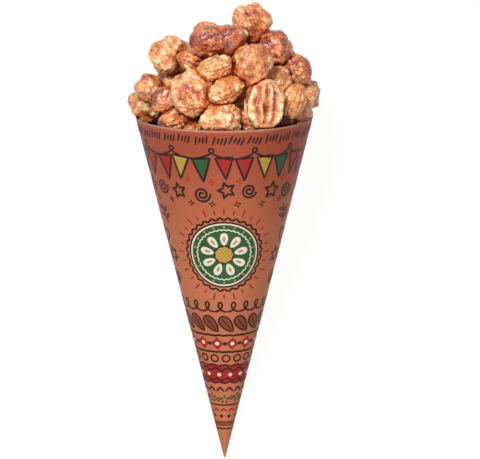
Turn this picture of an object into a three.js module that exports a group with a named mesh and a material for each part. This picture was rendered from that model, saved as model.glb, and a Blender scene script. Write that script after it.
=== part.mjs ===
// A rolled paper cone bag, heaped with candied nuts and lying on its back.
//
// The bag is one paper sector, rolled into a cone and glued along a lap. It can't stand on
// its point, so it lies on a narrow strip that its own weight has pressed flat.
// The nuts are separate solids that touch each other and the paper, as settled nuts do.
//
// Everything is worked out in the bag's own frame: the tip at the origin, the axis along +Z,
// the back along +Y and the viewer at -Y. The last lines lay the bag on the ground.

import * as THREE from 'three';

// The paper, in millimetres and degrees.
const RIM_DIAMETER = 90; // across the mouth, outside
const SLANT_LENGTH = 187; // from the tip to the rim, along the paper
const PAPER_THICKNESS = 0.4;
const LAP_ANGLE = 18; // how far round the sheet's outer edge laps over its inner edge
const LAP_EDGE = 68; // where the outer edge shows, counted from the back towards the right
const LAP_RISE_ANGLE = 8; // how far round the sheet climbs on to its own inner edge
const LAP_FADE_LENGTH = 14; // near the tip the lap is pinched flat over this length
const LAP_EDGE_BEVEL = 0.3; // degrees round that the cut edge of the lap takes up
const REST_FLAT_ANGLE = 18; // how much of the turn is pressed flat where the bag lies
const TIP_LENGTH = 1.6; // the blunt end of the rolled point
const TIP_PINCH_LENGTH = 5; // above this the cone is hollow
const PANELS = 64; // flat panels that stand for the round wall

// How the nuts lie, in millimetres and degrees.
const SEAT_GAP = 0.3; // between a nut and whatever it touches
const BRIDGE_REACH = 2.2; // nuts nearer than this are joined up by their sugar coat
const FLOOR_GAP = 0.5; // between the ground and a nut that hangs out over the rim
const HEAP_HEIGHT = 57; // from the rim up to the top of the heap
const HEAP_OVERHANG = 3; // how far the heap swells out past the rim
const HEAP_FULLNESS = 1.9; // 2 is a round dome and 1 is a straight-sided heap
const VIEW_ELEVATION = 11.5; // the heap's front is laid out as seen from this far above the rim
const FILL_START = 25; // along the axis, where the first nut is too wide to go lower
const FILL_TOP_DEPTH = 35; // below the rim, the middles of the last layer of plain fill
const FILL_COUNTS = [1, 1, 1, 2, 2, 4, 5]; // clumps of nuts in each layer, from the tip up

const CLUMP_SQUEEZE = 1.04; // clumps start this much too wide, and seat on each other
const SETTLE_ROUNDS = 260;
const SEARCH_STEPS = 14; // steps towards the plane that best parts two nuts

// The nuts in their sugar coat: the size along, across and through, and the coat's lumps.
const KINDS = {
  macadamia: { size: [21, 20, 18.5], lumps: 0.085, colour: 0xc9814f },
  hazelnut: { size: [17, 16, 15.5], lumps: 0.08, colour: 0xcf8c58 },
  almond: { size: [24, 14.5, 12], lumps: 0.05, point: 0.16, colour: 0xd0884e },
  pecan: { size: [28, 22, 15], lumps: 0.05, ribs: 0.05, groove: 0.14, colour: 0xb96a3c },
  cashew: { size: [30, 16, 14], lumps: 0.05, bend: 0.2, colour: 0xc67c46 },
  clump: { size: [1, 1, 1], lumps: 0.12, colour: 0xb06a40 }, // its scale is its diameter
};

// The nuts that show from the front. across is a share of the rim's radius, to the right, and
// up a share of the heap's height, both as the viewer sees the middle of the nut. sink is how
// far behind the front of the heap it sits. turn is its lean in the viewer's picture, tip how
// its far end goes back, and roll how far its broad side turns from the viewer, in degrees.
const FRONT_NUTS = [
  { kind: 'macadamia', across: 0.29, up: 0.795, sink: 12, turn: 20, tip: 15, scale: 0.93 },
  { kind: 'cashew', across: -0.05, up: 0.61, sink: 3, turn: 5, scale: 1.02 },
  { kind: 'almond', across: 0.06, up: 0.71, sink: 16, turn: 14, tip: 10, scale: 0.74 },
  { kind: 'almond', across: -0.16, up: 0.71, sink: 13, turn: 14, tip: -18, scale: 0.58 },
  { kind: 'hazelnut', across: 0.57, up: 0.59, sink: 6, turn: 60, scale: 1.04 },
  { kind: 'hazelnut', across: -0.61, up: 0.51, sink: 3, turn: 75, scale: 1.1 },
  { kind: 'almond', across: -0.33, up: 0.47, sink: 13, turn: -20, scale: 0.84 },
  { kind: 'macadamia', across: 0.28, up: 0.41, sink: 0, turn: 35, tip: 20 },
  { kind: 'hazelnut', across: 0.79, up: 0.38, sink: 2, turn: 80, scale: 0.98 },
  { kind: 'almond', across: -0.12, up: 0.34, sink: 4, turn: 14, tip: 10, scale: 0.74 },
  { kind: 'hazelnut', across: 0.6, up: 0.26, sink: 12, turn: 30 },
  { kind: 'macadamia', across: -0.34, up: 0.17, sink: 0, turn: 70, tip: 12, scale: 1.04 },
  { kind: 'almond', across: 0.04, up: 0.19, sink: 4, turn: 25, tip: 15, scale: 0.8 },
  { kind: 'pecan', across: 0.42, up: 0.07, sink: 0, turn: 80, tip: 14, roll: 14, scale: 0.88 },
  { kind: 'almond', across: 0.77, up: 0.12, sink: 3, turn: 76, scale: 0.78 },
  { kind: 'hazelnut', across: 0.88, up: 0.17, sink: 7, turn: 60, scale: 0.9 },
  { kind: 'hazelnut', across: -0.82, up: 0.21, sink: 9, turn: 8, scale: 0.8 },
  { kind: 'hazelnut', across: -0.91, up: 0.09, sink: 1, turn: 15, scale: 1.08 },
  { kind: 'hazelnut', across: -0.64, up: 0.12, sink: 6, turn: 50, scale: 0.84 },
  { kind: 'almond', across: -0.53, up: -0.06, sink: 2, turn: 14, tip: 20, scale: 0.86 },
  { kind: 'macadamia', across: -0.02, up: -0.09, sink: 0, turn: 0, tip: 30, scale: 0.92 },
  { kind: 'hazelnut', across: 0.24, up: -0.05, sink: 5, turn: 40, scale: 0.94 },
  { kind: 'almond', across: -0.27, up: -0.14, sink: 6, turn: 24, tip: 20, scale: 0.8 },
];

// The heap behind them, which the front hides: rings of nuts at these heights, as a share of
// the heap's height, set in from its edge and spread over an arc about the back. The heap's
// peak leans to the right, so the upper rings do too, by a share of the rim's radius.
const BACK_RINGS = [
  { up: -0.1, inset: 11, nuts: 4, arc: 150, kind: 'pecan' },
  { up: 0.18, inset: 11, nuts: 5, arc: 190, kind: 'macadamia' },
  { up: 0.4, inset: 14, nuts: 4, arc: 132, kind: 'macadamia', across: 0.05 },
  { up: 0.55, inset: 24, nuts: 2, arc: 90, kind: 'hazelnut', across: 0.27 },
];

// The clumps in the heart of the heap: how far out from the axis and how wide, as shares of
// the heap's radius at their height, and the angle round from the back.
const CORE_CLUMPS = [
  { up: 0.0, out: 0.37, around: 90, bulk: 0.57 },
  { up: 0.0, out: 0.37, around: -90, bulk: 0.57 },
  { up: 0.34, out: 0.08, around: 60, bulk: 0.55 },
];

// Nuts that hardly show are modelled with fewer faces: how often each edge is split.
const SPLIT_COUNT = { front: 3, back: 2, hidden: 1 };
const HARDLY_SHOWS = 12.5; // the sink from which a nut at the front is mostly covered

const RADIANS = Math.PI / 180;
const rimRadius = RIM_DIAMETER / 2;
const coneAngle = Math.asin(rimRadius / SLANT_LENGTH);
const rimHeight = SLANT_LENGTH * Math.cos(coneAngle);
const flatHalfAngle = (REST_FLAT_ANGLE / 2) * RADIANS;
const flatTilt = Math.atan(Math.tan(coneAngle) * Math.cos(flatHalfAngle));
const backPlane = new THREE.Vector3(0, Math.cos(flatTilt), -Math.sin(flatTilt));

// A number from 0 to 1 that is always the same for the same seed.
function scatter(seed) {
  const wave = Math.sin(seed * 127.1 + 311.7) * 43758.5453;
  return wave - Math.floor(wave);
}

// The paper

// The stations round the cone where the wall changes: the angle from the back, and how far the
// wall's outside and inside stand out there, in paper thicknesses.
function wallStations() {
  const outerEdge = LAP_EDGE;
  const innerEdge = LAP_EDGE - LAP_ANGLE;
  const riseStart = innerEdge - LAP_RISE_ANGLE;
  const stations = [
    { angle: riseStart, outside: 0, inside: 0 },
    { angle: innerEdge - LAP_EDGE_BEVEL, outside: 1, inside: 1 },
    { angle: innerEdge, outside: 1, inside: 0 },
    { angle: outerEdge - LAP_EDGE_BEVEL, outside: 1, inside: 0 },
    { angle: outerEdge, outside: 0, inside: 0 },
  ];
  const crossesLap = (angle) => angle > riseStart - 1 && angle < outerEdge + 1;
  const lapPanels = 4;
  for (let i = 1; i < lapPanels; i += 1) {
    const angle = innerEdge + ((LAP_ANGLE - LAP_EDGE_BEVEL) * i) / lapPanels;
    stations.push({ angle, outside: 1, inside: 0 });
  }
  const start = REST_FLAT_ANGLE / 2;
  const turn = 360 - REST_FLAT_ANGLE;
  for (let i = 0; i <= PANELS; i += 1) {
    const angle = start + (turn * i) / PANELS;
    if (!crossesLap(angle)) stations.push({ angle, outside: 0, inside: 0 });
  }
  return stations.sort((a, b) => a.angle - b.angle);
}

// The direction of the straight line from the tip up the paper, at an angle from the back.
function paperLine(angle) {
  const fromBack = Math.atan2(Math.sin(angle), Math.cos(angle));
  const onFlat = Math.abs(fromBack) < flatHalfAngle;
  const flattening = onFlat ? Math.cos(flatHalfAngle) / Math.cos(fromBack) : 1;
  const slope = Math.tan(coneAngle) * flattening;
  return new THREE.Vector3(slope * Math.sin(angle), slope * Math.cos(angle), 1).normalize();
}

function paperNormal(angle) {
  const level = Math.cos(coneAngle);
  return new THREE.Vector3(level * Math.sin(angle), level * Math.cos(angle), -Math.sin(coneAngle));
}

// A loop of points round the wall, at a distance from the tip along the paper.
function wallLoop(stations, distance, side) {
  const lift = Math.min(1, distance / LAP_FADE_LENGTH);
  return stations.map((station) => {
    const angle = station.angle * RADIANS;
    const layers = side === 'outside' ? station.outside * lift : station.inside * lift - 1;
    return paperLine(angle)
      .multiplyScalar(distance)
      .addScaledVector(paperNormal(angle), layers * PAPER_THICKNESS);
  });
}

// Joins loops of points, first to last, into one closed solid with its faces pointing out.
function solidFromLoops(loops) {
  const count = loops[0].length;
  const positions = loops.flat().flatMap((point) => [point.x, point.y, point.z]);
  const faces = [];
  for (let loop = 0; loop < loops.length - 1; loop += 1) {
    for (let i = 0; i < count; i += 1) {
      const next = (i + 1) % count;
      const [a, b] = [loop * count + i, loop * count + next];
      const [c, d] = [a + count, b + count];
      faces.push(a, c, b, b, c, d);
    }
  }
  const closeEnd = (loop, facesUp) => {
    const middle = loops[loop]
      .reduce((sum, point) => sum.add(point), new THREE.Vector3())
      .divideScalar(count);
    const centre = positions.length / 3;
    positions.push(middle.x, middle.y, middle.z);
    for (let i = 0; i < count; i += 1) {
      const [a, b] = [loop * count + i, loop * count + ((i + 1) % count)];
      if (facesUp) faces.push(centre, b, a);
      else faces.push(centre, a, b);
    }
  };
  closeEnd(0, false);
  closeEnd(loops.length - 1, true);
  return new THREE.BufferGeometry()
    .setAttribute('position', new THREE.Float32BufferAttribute(positions, 3))
    .setIndex(faces);
}

function makePaperCone() {
  const stations = wallStations();
  const outside = [TIP_LENGTH, LAP_FADE_LENGTH, SLANT_LENGTH];
  const inside = [SLANT_LENGTH, LAP_FADE_LENGTH, TIP_PINCH_LENGTH];
  return solidFromLoops([
    ...outside.map((distance) => wallLoop(stations, distance, 'outside')),
    ...inside.map((distance) => wallLoop(stations, distance, 'inside')),
  ]);
}

// The nuts

// One nut while the heap settles: an ellipsoid with a middle, an attitude and half sizes.
class Nut {
  constructor({ name, kind, centre, attitude, scale = 1, looseness, detail }) {
    Object.assign(this, { name, kind, centre, attitude, detail });
    this.half = new THREE.Vector3(...KINDS[kind].size).multiplyScalar(scale / 2);
    this.looseness = looseness; // 1 moves freely and 0 stays where it was put
  }

  // The point of the ellipsoid that lies furthest out along a direction, from its middle.
  support(direction) {
    const local = direction.clone().applyQuaternion(this.attitude.clone().invert());
    const scaled = local.multiply(this.half);
    const reach = scaled.length();
    return scaled.multiply(this.half).divideScalar(reach).applyQuaternion(this.attitude);
  }

  reach(direction) {
    return this.support(direction).dot(direction);
  }
}

// Whether two nuts lie near enough to meet, lumps and all.
function mayTouch(first, second) {
  const spread = 1.3 * (first.half.x + second.half.x) + BRIDGE_REACH;
  return first.centre.distanceTo(second.centre) < spread;
}

// The plane that best parts two nuts: its normal from the first to the second, and the gap
// between them across it, which is negative where they overlap.
function partingPlane(first, second) {
  const between = second.centre.clone().sub(first.centre);
  const normal = between.clone().normalize();
  const gapAlong = (direction) =>
    between.dot(direction) - first.reach(direction) - second.reach(direction);
  let gap = gapAlong(normal);
  let step = 0.5;
  for (let i = 0; i < SEARCH_STEPS; i += 1) {
    const pull = between.clone().sub(first.support(normal)).sub(second.support(normal));
    pull.addScaledVector(normal, -pull.dot(normal));
    const length = pull.length();
    if (length < 1e-4) break;
    const trial = normal.clone().addScaledVector(pull, step / (length + 6)).normalize();
    const trialGap = gapAlong(trial);
    if (trialGap > gap) {
      normal.copy(trial);
      gap = trialGap;
    } else step /= 2;
  }
  return { normal, gap };
}

// How wide the heap is at a height above the rim.
function heapRadius(height) {
  const level = THREE.MathUtils.clamp(height / HEAP_HEIGHT, 0, 1);
  return (rimRadius + HEAP_OVERHANG) * (1 - level ** HEAP_FULLNESS) ** (1 / 2);
}

// How far from the axis the inside of the paper is, at a height along the axis.
function hollowRadius(height) {
  return height * Math.tan(coneAngle) - (PAPER_THICKNESS + SEAT_GAP) / Math.cos(coneAngle);
}

// How a nut lies: with no angles given, along X with its broad side to the viewer.
function attitudeOf({ turn = 0, tip = 0, roll = 0 }) {
  const broadSideOut = 90;
  const euler = new THREE.Euler((roll + broadSideOut) * RADIANS, -turn * RADIANS, tip * RADIANS, 'YZX');
  return new THREE.Quaternion().setFromEuler(euler);
}

// The middle of a nut that shows at the front of the heap.
function frontCentre({ across, up, sink, kind, scale = 1 }) {
  const elevation = VIEW_ELEVATION * RADIANS;
  const right = across * rimRadius;
  const seenUp = up * HEAP_HEIGHT;
  const [, width, depth] = KINDS[kind].size;
  const halfDepth = ((width + depth) / 4) * scale;
  let forward = 0;
  let height = 0;
  for (let i = 0; i < 12; i += 1) {
    height = (seenUp + forward * Math.sin(elevation)) / Math.cos(elevation);
    const edge = Math.min(heapRadius(height), hollowRadius(rimHeight + height) + 2 * HEAP_OVERHANG);
    const room = Math.max(0, edge - halfDepth) ** 2 - right ** 2;
    forward = Math.sqrt(Math.max(0, room)) - sink;
  }
  return new THREE.Vector3(right, -forward, rimHeight + height);
}

function frontNuts() {
  return FRONT_NUTS.map((entry, i) => {
    const name = `${entry.kind}_front_${String(i + 1).padStart(2, '0')}`;
    const looseness = 0.04 + 0.02 * entry.sink;
    const place = { centre: frontCentre(entry), attitude: attitudeOf(entry) };
    const detail = entry.sink > HARDLY_SHOWS ? SPLIT_COUNT.back : SPLIT_COUNT.front;
    return new Nut({ ...entry, ...place, name, looseness, detail });
  });
}

// An attitude that looks like chance, the same for the same seed.
function tumbled(seed) {
  const turn = 360 * scatter(seed);
  const tip = 40 * scatter(seed + 0.5) - 20;
  return attitudeOf({ turn, tip });
}

// A point of the heap at a height over the rim and a distance from the axis.
function heapPoint(height, radius, around, shift = 0) {
  const x = radius * Math.sin(around) + shift;
  return new THREE.Vector3(x, radius * Math.cos(around), rimHeight + height);
}

function backNuts() {
  return BACK_RINGS.flatMap((ring, level) =>
    Array.from({ length: ring.nuts }, (_, i) => {
      const share = ring.nuts > 1 ? i / (ring.nuts - 1) - 0.5 : 0;
      const height = ring.up * HEAP_HEIGHT;
      const radius = Math.max(0, heapRadius(height) - ring.inset);
      const shift = (ring.across ?? 0) * rimRadius;
      const centre = heapPoint(height, radius, share * ring.arc * RADIANS, shift);
      const name = `${ring.kind}_back_${level + 1}${i + 1}`;
      const attitude = tumbled(10 * level + i);
      const detail = SPLIT_COUNT.back;
      return new Nut({ ...ring, name, centre, attitude, looseness: 0.8, detail });
    }),
  );
}

function coreClumps() {
  return CORE_CLUMPS.map(({ up, out, around, bulk }, i) => {
    const height = up * HEAP_HEIGHT;
    const room = heapRadius(height);
    return new Nut({
      name: `clump_core_${i + 1}`,
      kind: 'clump',
      centre: heapPoint(height, out * room, around * RADIANS),
      attitude: tumbled(40 + i),
      scale: bulk * room,
      looseness: 0.8,
      detail: SPLIT_COUNT.hidden,
    });
  });
}

// How wide a clump is that shares a layer with others, as a share of the room's radius.
function clumpShare(count) {
  return count === 1 ? 1 : 1 / (1 + 1 / Math.sin(Math.PI / count));
}

// The heights of the fill's layers: each stands on the one below, and then all are drawn
// together or apart until the last is where the heap begins.
function fillHeights() {
  const stacked = [FILL_START];
  for (const count of FILL_COUNTS.slice(0, -1)) {
    const height = stacked.at(-1);
    const diameter = 2 * hollowRadius(height) * clumpShare(count);
    stacked.push(height + diameter * (count === 1 ? 1 : 0.88));
  }
  const top = rimHeight - FILL_TOP_DEPTH;
  const stretch = (top - FILL_START) / (stacked.at(-1) - FILL_START);
  return stacked.map((height) => FILL_START + (height - FILL_START) * stretch);
}

// The fill below the heap: layer on layer of clumps, as wide as the cone lets them be.
function fillNuts() {
  return fillHeights().flatMap((height, layer) => {
    const count = FILL_COUNTS[layer];
    const room = hollowRadius(height);
    const diameter = 2 * room * clumpShare(count) * CLUMP_SQUEEZE;
    const ring = count === 1 ? 0 : room - diameter / 2;
    return Array.from({ length: count }, (_, i) => {
      const around = 2 * Math.PI * (i / count + 0.38 * layer);
      return new Nut({
        name: `clump_fill_${layer + 1}${i + 1}`,
        kind: 'clump',
        centre: new THREE.Vector3(ring * Math.sin(around), ring * Math.cos(around), height),
        attitude: tumbled(100 + 10 * layer + i),
        scale: diameter,
        looseness: 1,
        detail: SPLIT_COUNT.hidden,
      });
    });
  });
}

// Keeps a nut off the paper, and off the ground where it hangs out over the rim.
function keepInside(nut) {
  const { x, y, z } = nut.centre;
  const outward = paperNormal(Math.atan2(x, y));
  const wall = PAPER_THICKNESS + SEAT_GAP;
  const slack = z > rimHeight ? (z - rimHeight) * 0.6 : 0;
  const over = nut.centre.dot(outward) + nut.reach(outward) + wall - slack;
  if (over > 0) nut.centre.addScaledVector(outward, -over);
  const low = nut.centre.dot(backPlane) + nut.reach(backPlane) + wall;
  if (low > 0) nut.centre.addScaledVector(backPlane, -low);
}

// Pushes overlapping nuts apart and draws loose ones to their nearest neighbour, round by round.
function settle(nuts) {
  for (let round = 0; round < SETTLE_ROUNDS; round += 1) {
    const calm = 1 - round / SETTLE_ROUNDS;
    const nearest = nuts.map(() => ({ gap: Infinity }));
    nuts.forEach((nut, i) => {
      if (nut.looseness === 1) nut.centre.z -= 0.12 * calm;
      for (let j = i + 1; j < nuts.length; j += 1) {
        const other = nuts[j];
        if (!mayTouch(nut, other)) continue;
        const { normal, gap } = partingPlane(nut, other);
        if (gap < nearest[i].gap) nearest[i] = { gap, towards: normal.clone() };
        if (gap < nearest[j].gap) nearest[j] = { gap, towards: normal.clone().negate() };
        if (gap > -0.2) continue;
        const push = (-gap * 0.5) / (nut.looseness + other.looseness);
        nut.centre.addScaledVector(normal, -push * nut.looseness);
        other.centre.addScaledVector(normal, push * other.looseness);
      }
    });
    nuts.forEach((nut, i) => {
      const { gap, towards } = nearest[i];
      if (gap > 0.1 && Number.isFinite(gap)) {
        nut.centre.addScaledVector(towards, gap * 0.3 * Math.max(nut.looseness, 0.3));
      }
      keepInside(nut);
    });
  }
}

// The flat faces that hem a nut in: one towards each near neighbour, and one at its back.
function hems(nut, nuts) {
  const toFloor = -nut.centre.dot(backPlane) - PAPER_THICKNESS - FLOOR_GAP;
  const faces = [{ normal: backPlane, offset: toFloor }];
  for (const other of nuts) {
    if (other === nut) continue;
    const [first, second] = nut.name < other.name ? [nut, other] : [other, nut];
    if (!mayTouch(first, second)) continue;
    const { normal, gap } = partingPlane(first, second);
    const middle = first.centre.dot(normal) + first.reach(normal) + gap / 2;
    const facing = nut === first ? normal : normal.clone().negate();
    const side = nut === first ? 1 : -1;
    const offset = side * (middle - nut.centre.dot(normal)) - SEAT_GAP / 2;
    faces.push({ normal: facing, offset, bridged: gap < BRIDGE_REACH });
  }
  return faces;
}

// How far out a nut may go along a direction before it meets the paper. Above the rim the
// nut may lean out over the edge, within a wider cone that stands on the edge.
function paperLimit(nut, direction) {
  const above = nut.centre.z - rimHeight;
  const lean = THREE.MathUtils.clamp(above / nut.half.y, 0, 1) * 62 * RADIANS;
  const slope = Math.tan(Math.max(coneAngle, lean));
  const edge = hollowRadius(rimHeight);
  const outside = (distance) => {
    const x = nut.centre.x + direction.x * distance;
    const y = nut.centre.y + direction.y * distance;
    const z = nut.centre.z + direction.z * distance;
    return Math.hypot(x, y) - edge - (z - rimHeight) * slope;
  };
  const far = 2 * nut.half.x;
  if (outside(far) <= 0) return far;
  let [low, high] = [0, far];
  for (let i = 0; i < 24; i += 1) {
    const middle = (low + high) / 2;
    if (outside(middle) > 0) high = middle;
    else low = middle;
  }
  return low;
}

// The bare nut's distance from its middle along a direction, with the form of its kind.
function nutRadius(nut, direction, seed) {
  const { lumps, point = 0, ribs = 0, groove = 0, bend = 0 } = KINDS[nut.kind];
  const local = direction.clone().applyQuaternion(nut.attitude.clone().invert());
  const smooth = 1 / local.clone().divide(nut.half).length();
  const around = Math.atan2(local.y, local.z);
  let form = 1;
  form -= point * Math.max(0, local.x) * (1 - Math.abs(local.x) ** 3);
  form += ribs * Math.cos(6 * around) * (1 - local.x ** 2);
  form -= groove * Math.exp(-((around / 0.45) ** 2)) * (1 - local.x ** 4);
  form -= bend * Math.max(0, local.y) ** 2 * (1 - local.x ** 2);
  for (let i = 0; i < 5; i += 1) {
    const pitch = 2.2 + 3.6 * scatter(seed + i);
    const phase = 6.3 * scatter(seed + i + 0.3);
    const tilt = new THREE.Vector3(
      scatter(seed + i + 0.1) - 0.5,
      scatter(seed + i + 0.5) - 0.5,
      scatter(seed + i + 0.7) - 0.5,
    ).normalize();
    form += 0.55 * lumps * Math.cos(pitch * 1.6 * local.dot(tilt) + phase);
  }
  return smooth * form;
}

function makeNut(nut, nuts, seed) {
  const ball = new THREE.IcosahedronGeometry(1, nut.detail);
  const faces = hems(nut, nuts);
  const place = ball.getAttribute('position');
  const point = new THREE.Vector3();
  for (let i = 0; i < place.count; i += 1) {
    const direction = point.fromBufferAttribute(place, i).normalize();
    let distance = nutRadius(nut, direction, seed);
    for (const { normal, offset, bridged } of faces) {
      const facing = direction.dot(normal);
      if (facing <= 0) continue;
      const limit = offset / facing;
      const nearness = THREE.MathUtils.smoothstep(facing, 0.86, 0.96);
      if (bridged && limit > distance) distance += (limit - distance) * nearness;
    }
    for (const { normal, offset } of faces) {
      const facing = direction.dot(normal);
      if (facing > 0) distance = Math.min(distance, offset / facing);
    }
    distance = Math.min(distance, paperLimit(nut, direction));
    place.setXYZ(i, ...direction.multiplyScalar(distance).toArray());
  }
  return ball;
}

// The assembly

const bag = new THREE.Group();
bag.name = 'paper_cone_bag';

const paper = new THREE.MeshStandardMaterial({ color: 0xc2714e, roughness: 0.5, metalness: 0.1 });
const cone = new THREE.Mesh(makePaperCone(), paper);
cone.name = 'paper_cone';
bag.add(cone);

const nuts = [...frontNuts(), ...backNuts(), ...coreClumps(), ...fillNuts()];
settle(nuts);
nuts.forEach((nut, i) => {
  const { colour } = KINDS[nut.kind];
  const coat = new THREE.MeshStandardMaterial({ color: colour, roughness: 0.35, metalness: 0 });
  const mesh = new THREE.Mesh(makeNut(nut, nuts, 7 * i), coat);
  mesh.name = nut.name;
  mesh.position.copy(nut.centre);
  bag.add(mesh);
});

// The bag is laid on the flat strip of its back, with the middle of that strip at the origin.
bag.rotation.x = flatTilt - Math.PI / 2;
bag.position.y = -SLANT_LENGTH / 2;

const part = new THREE.Group();
part.add(bag);
part.updateMatrixWorld(true);

export default part;
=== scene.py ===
"""Dresses a paper cone bag: the rolled card, its print, the sugar-coated nuts and the studio."""

from __future__ import annotations

import logging
import math
from dataclasses import dataclass, replace
from enum import Enum
from typing import Callable, Iterable, Mapping, Sequence, Union

import bmesh
import bpy
import numpy as np
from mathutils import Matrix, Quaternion, Vector, noise
from mathutils.bvhtree import BVHTree


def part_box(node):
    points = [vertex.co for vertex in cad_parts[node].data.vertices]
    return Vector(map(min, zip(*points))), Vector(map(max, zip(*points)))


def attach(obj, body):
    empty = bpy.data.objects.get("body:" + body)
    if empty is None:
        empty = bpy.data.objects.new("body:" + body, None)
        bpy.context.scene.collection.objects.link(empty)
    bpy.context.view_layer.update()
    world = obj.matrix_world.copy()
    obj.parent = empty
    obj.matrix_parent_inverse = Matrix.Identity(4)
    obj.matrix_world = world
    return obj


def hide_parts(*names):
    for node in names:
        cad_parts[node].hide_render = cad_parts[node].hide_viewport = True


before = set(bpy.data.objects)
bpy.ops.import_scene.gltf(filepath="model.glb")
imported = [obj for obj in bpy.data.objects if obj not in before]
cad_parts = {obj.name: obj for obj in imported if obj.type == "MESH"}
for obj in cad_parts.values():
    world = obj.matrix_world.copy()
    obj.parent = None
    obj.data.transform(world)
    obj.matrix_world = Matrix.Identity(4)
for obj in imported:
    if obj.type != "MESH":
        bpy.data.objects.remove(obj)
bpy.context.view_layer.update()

MM = 0.001
DEGREE = math.pi / 180.0
WHITE = (1.0, 1.0, 1.0, 1.0)
ROOT = "root"
log = logging.getLogger("paper cone bag")

Point = tuple[float, float]
Colour = tuple[float, float, float]
Term = Union["Value", float, int]


# Nodes


class Value:
    """A node's socket that can stand in arithmetic, where each step adds one Math node."""

    def __init__(self, sheet: NodeSheet, socket: bpy.types.NodeSocket) -> None:
        """Keeps the socket and the sheet that it belongs to."""
        self.sheet = sheet
        self.socket = socket

    def math(self, operation: str, *terms: Term) -> Value:
        """Adds a Math node on the terms.

        Args:
            operation: the Math node's operation.
            terms: its values, in order.

        Returns:
            What the node gives.
        """
        return self.sheet.value("ShaderNodeMath", {"operation": operation}, dict(enumerate(terms)))

    def __add__(self, other: Term) -> Value:
        """self + other."""
        return self.math("ADD", self, other)

    def __sub__(self, other: Term) -> Value:
        """self - other."""
        return self.math("SUBTRACT", self, other)

    def __rsub__(self, other: Term) -> Value:
        """other - self."""
        return self.math("SUBTRACT", other, self)

    def __mul__(self, other: Term) -> Value:
        """self * other."""
        return self.math("MULTIPLY", self, other)

    def __truediv__(self, other: Term) -> Value:
        """self / other."""
        return self.math("DIVIDE", self, other)

    def __rtruediv__(self, other: Term) -> Value:
        """other / self."""
        return self.math("DIVIDE", other, self)

    def __pow__(self, other: Term) -> Value:
        """self ** other."""
        return self.math("POWER", self, other)

    __radd__ = __add__
    __rmul__ = __mul__

    def least(self, other: Term) -> Value:
        """The smaller of the two."""
        return self.math("MINIMUM", self, other)

    def most(self, other: Term) -> Value:
        """The larger of the two."""
        return self.math("MAXIMUM", self, other)

    def ramp(self, low: Term, high: Term, start: Term = 0.0, end: Term = 1.0, smooth: bool = True) -> Value:
        """Goes from start to end while this value goes from low to high, and holds outside them.

        Args:
            low: where the change begins.
            high: where it is complete.
            start: what is given at low.
            end: what is given at high.
            smooth: True to ease in and out.

        Returns:
            The changed value.
        """
        easing = "SMOOTHSTEP" if smooth else "LINEAR"
        terms = dict(enumerate((self, low, high, start, end)))
        return self.sheet.value("ShaderNodeMapRange", {"interpolation_type": easing}, terms)


class NodeSheet:
    """Adds nodes to one node tree."""

    def __init__(self, tree: bpy.types.NodeTree) -> None:
        """Keeps the tree."""
        self.tree = tree

    def node(
        self,
        kind: str,
        settings: Mapping[str, object] | None = None,
        inputs: Mapping[int | str, object] | None = None,
    ) -> bpy.types.Node:
        """Adds a node.

        Args:
            kind: the node's type.
            settings: its properties, which are set first; "stops" are a colour ramp's stops.
            inputs: a value or a link for each input, by its name or its number.

        Returns:
            The new node.
        """
        made = self.tree.nodes.new(kind)
        for name, setting in (settings or {}).items():
            if name == "stops":
                self.set_stops(made.color_ramp, setting)
            else:
                setattr(made, name, setting)
        for key, term in (inputs or {}).items():
            source = term.socket if isinstance(term, Value) else term
            if isinstance(source, bpy.types.NodeSocket):
                self.tree.links.new(source, made.inputs[key])
            else:
                made.inputs[key].default_value = source
        return made

    def value(
        self,
        kind: str,
        settings: Mapping[str, object] | None = None,
        inputs: Mapping[int | str, object] | None = None,
        output: int | str = 0,
    ) -> Value:
        """Adds a node and gives one of its outputs, with node()'s arguments and the output's name."""
        return Value(self, self.node(kind, settings, inputs).outputs[output])

    @staticmethod
    def set_stops(ramp: bpy.types.ColorRamp, stops: Sequence[tuple[float, Colour]]) -> None:
        """Puts the stops, each a place and a colour, on a colour ramp.

        Args:
            ramp: the ramp.
            stops: its stops, from 0 to 1.
        """
        while len(ramp.elements) < len(stops):
            ramp.elements.new(1.0)
        for element, (place, colour) in zip(ramp.elements, stops):
            element.position = place
            element.color = (*colour, 1.0)

    def vector(self, operation: str, *terms: object, output: int = 0) -> Value:
        """Adds a Vector Math node on the terms and gives its vector, or with output=1 its number."""
        slots = {3 if operation == "SCALE" and i == 1 else i: term for i, term in enumerate(terms)}
        return self.value("ShaderNodeVectorMath", {"operation": operation}, slots, output)

    def noise(self, place: Value, size: float, detail: float = 2.0, rough: float = 0.5) -> Value:
        """Cloudy noise from 0 to 1, with clouds of about this size in metres."""
        inputs = {"Vector": place, "Scale": 1.0 / size, "Detail": detail, "Roughness": rough}
        return self.value("ShaderNodeTexNoise", None, inputs)

    def mixed(self, factor: Term, first: object, second: object) -> Value:
        """Mixes two colours by a factor."""
        return self.value("ShaderNodeMix", {"data_type": "RGBA"}, {0: factor, 6: first, 7: second}, 2)

    def parts(self, vector: Value) -> tuple[Value, ...]:
        """A vector's three numbers."""
        split = self.node("ShaderNodeSeparateXYZ", None, {0: vector})
        return tuple(Value(self, output) for output in split.outputs)

    def combined(self, x: Term = 0.0, y: Term = 0.0, z: Term = 0.0) -> Value:
        """The vector of these three numbers."""
        return self.value("ShaderNodeCombineXYZ", None, {0: x, 1: y, 2: z})

    def tipped(self, vector: Value, angle: Term) -> Value:
        """Turns a vector about the X axis, by an angle in radians."""
        settings = {"rotation_type": "X_AXIS"}
        return self.value("ShaderNodeVectorRotate", settings, {"Vector": vector, "Angle": angle})


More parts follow.
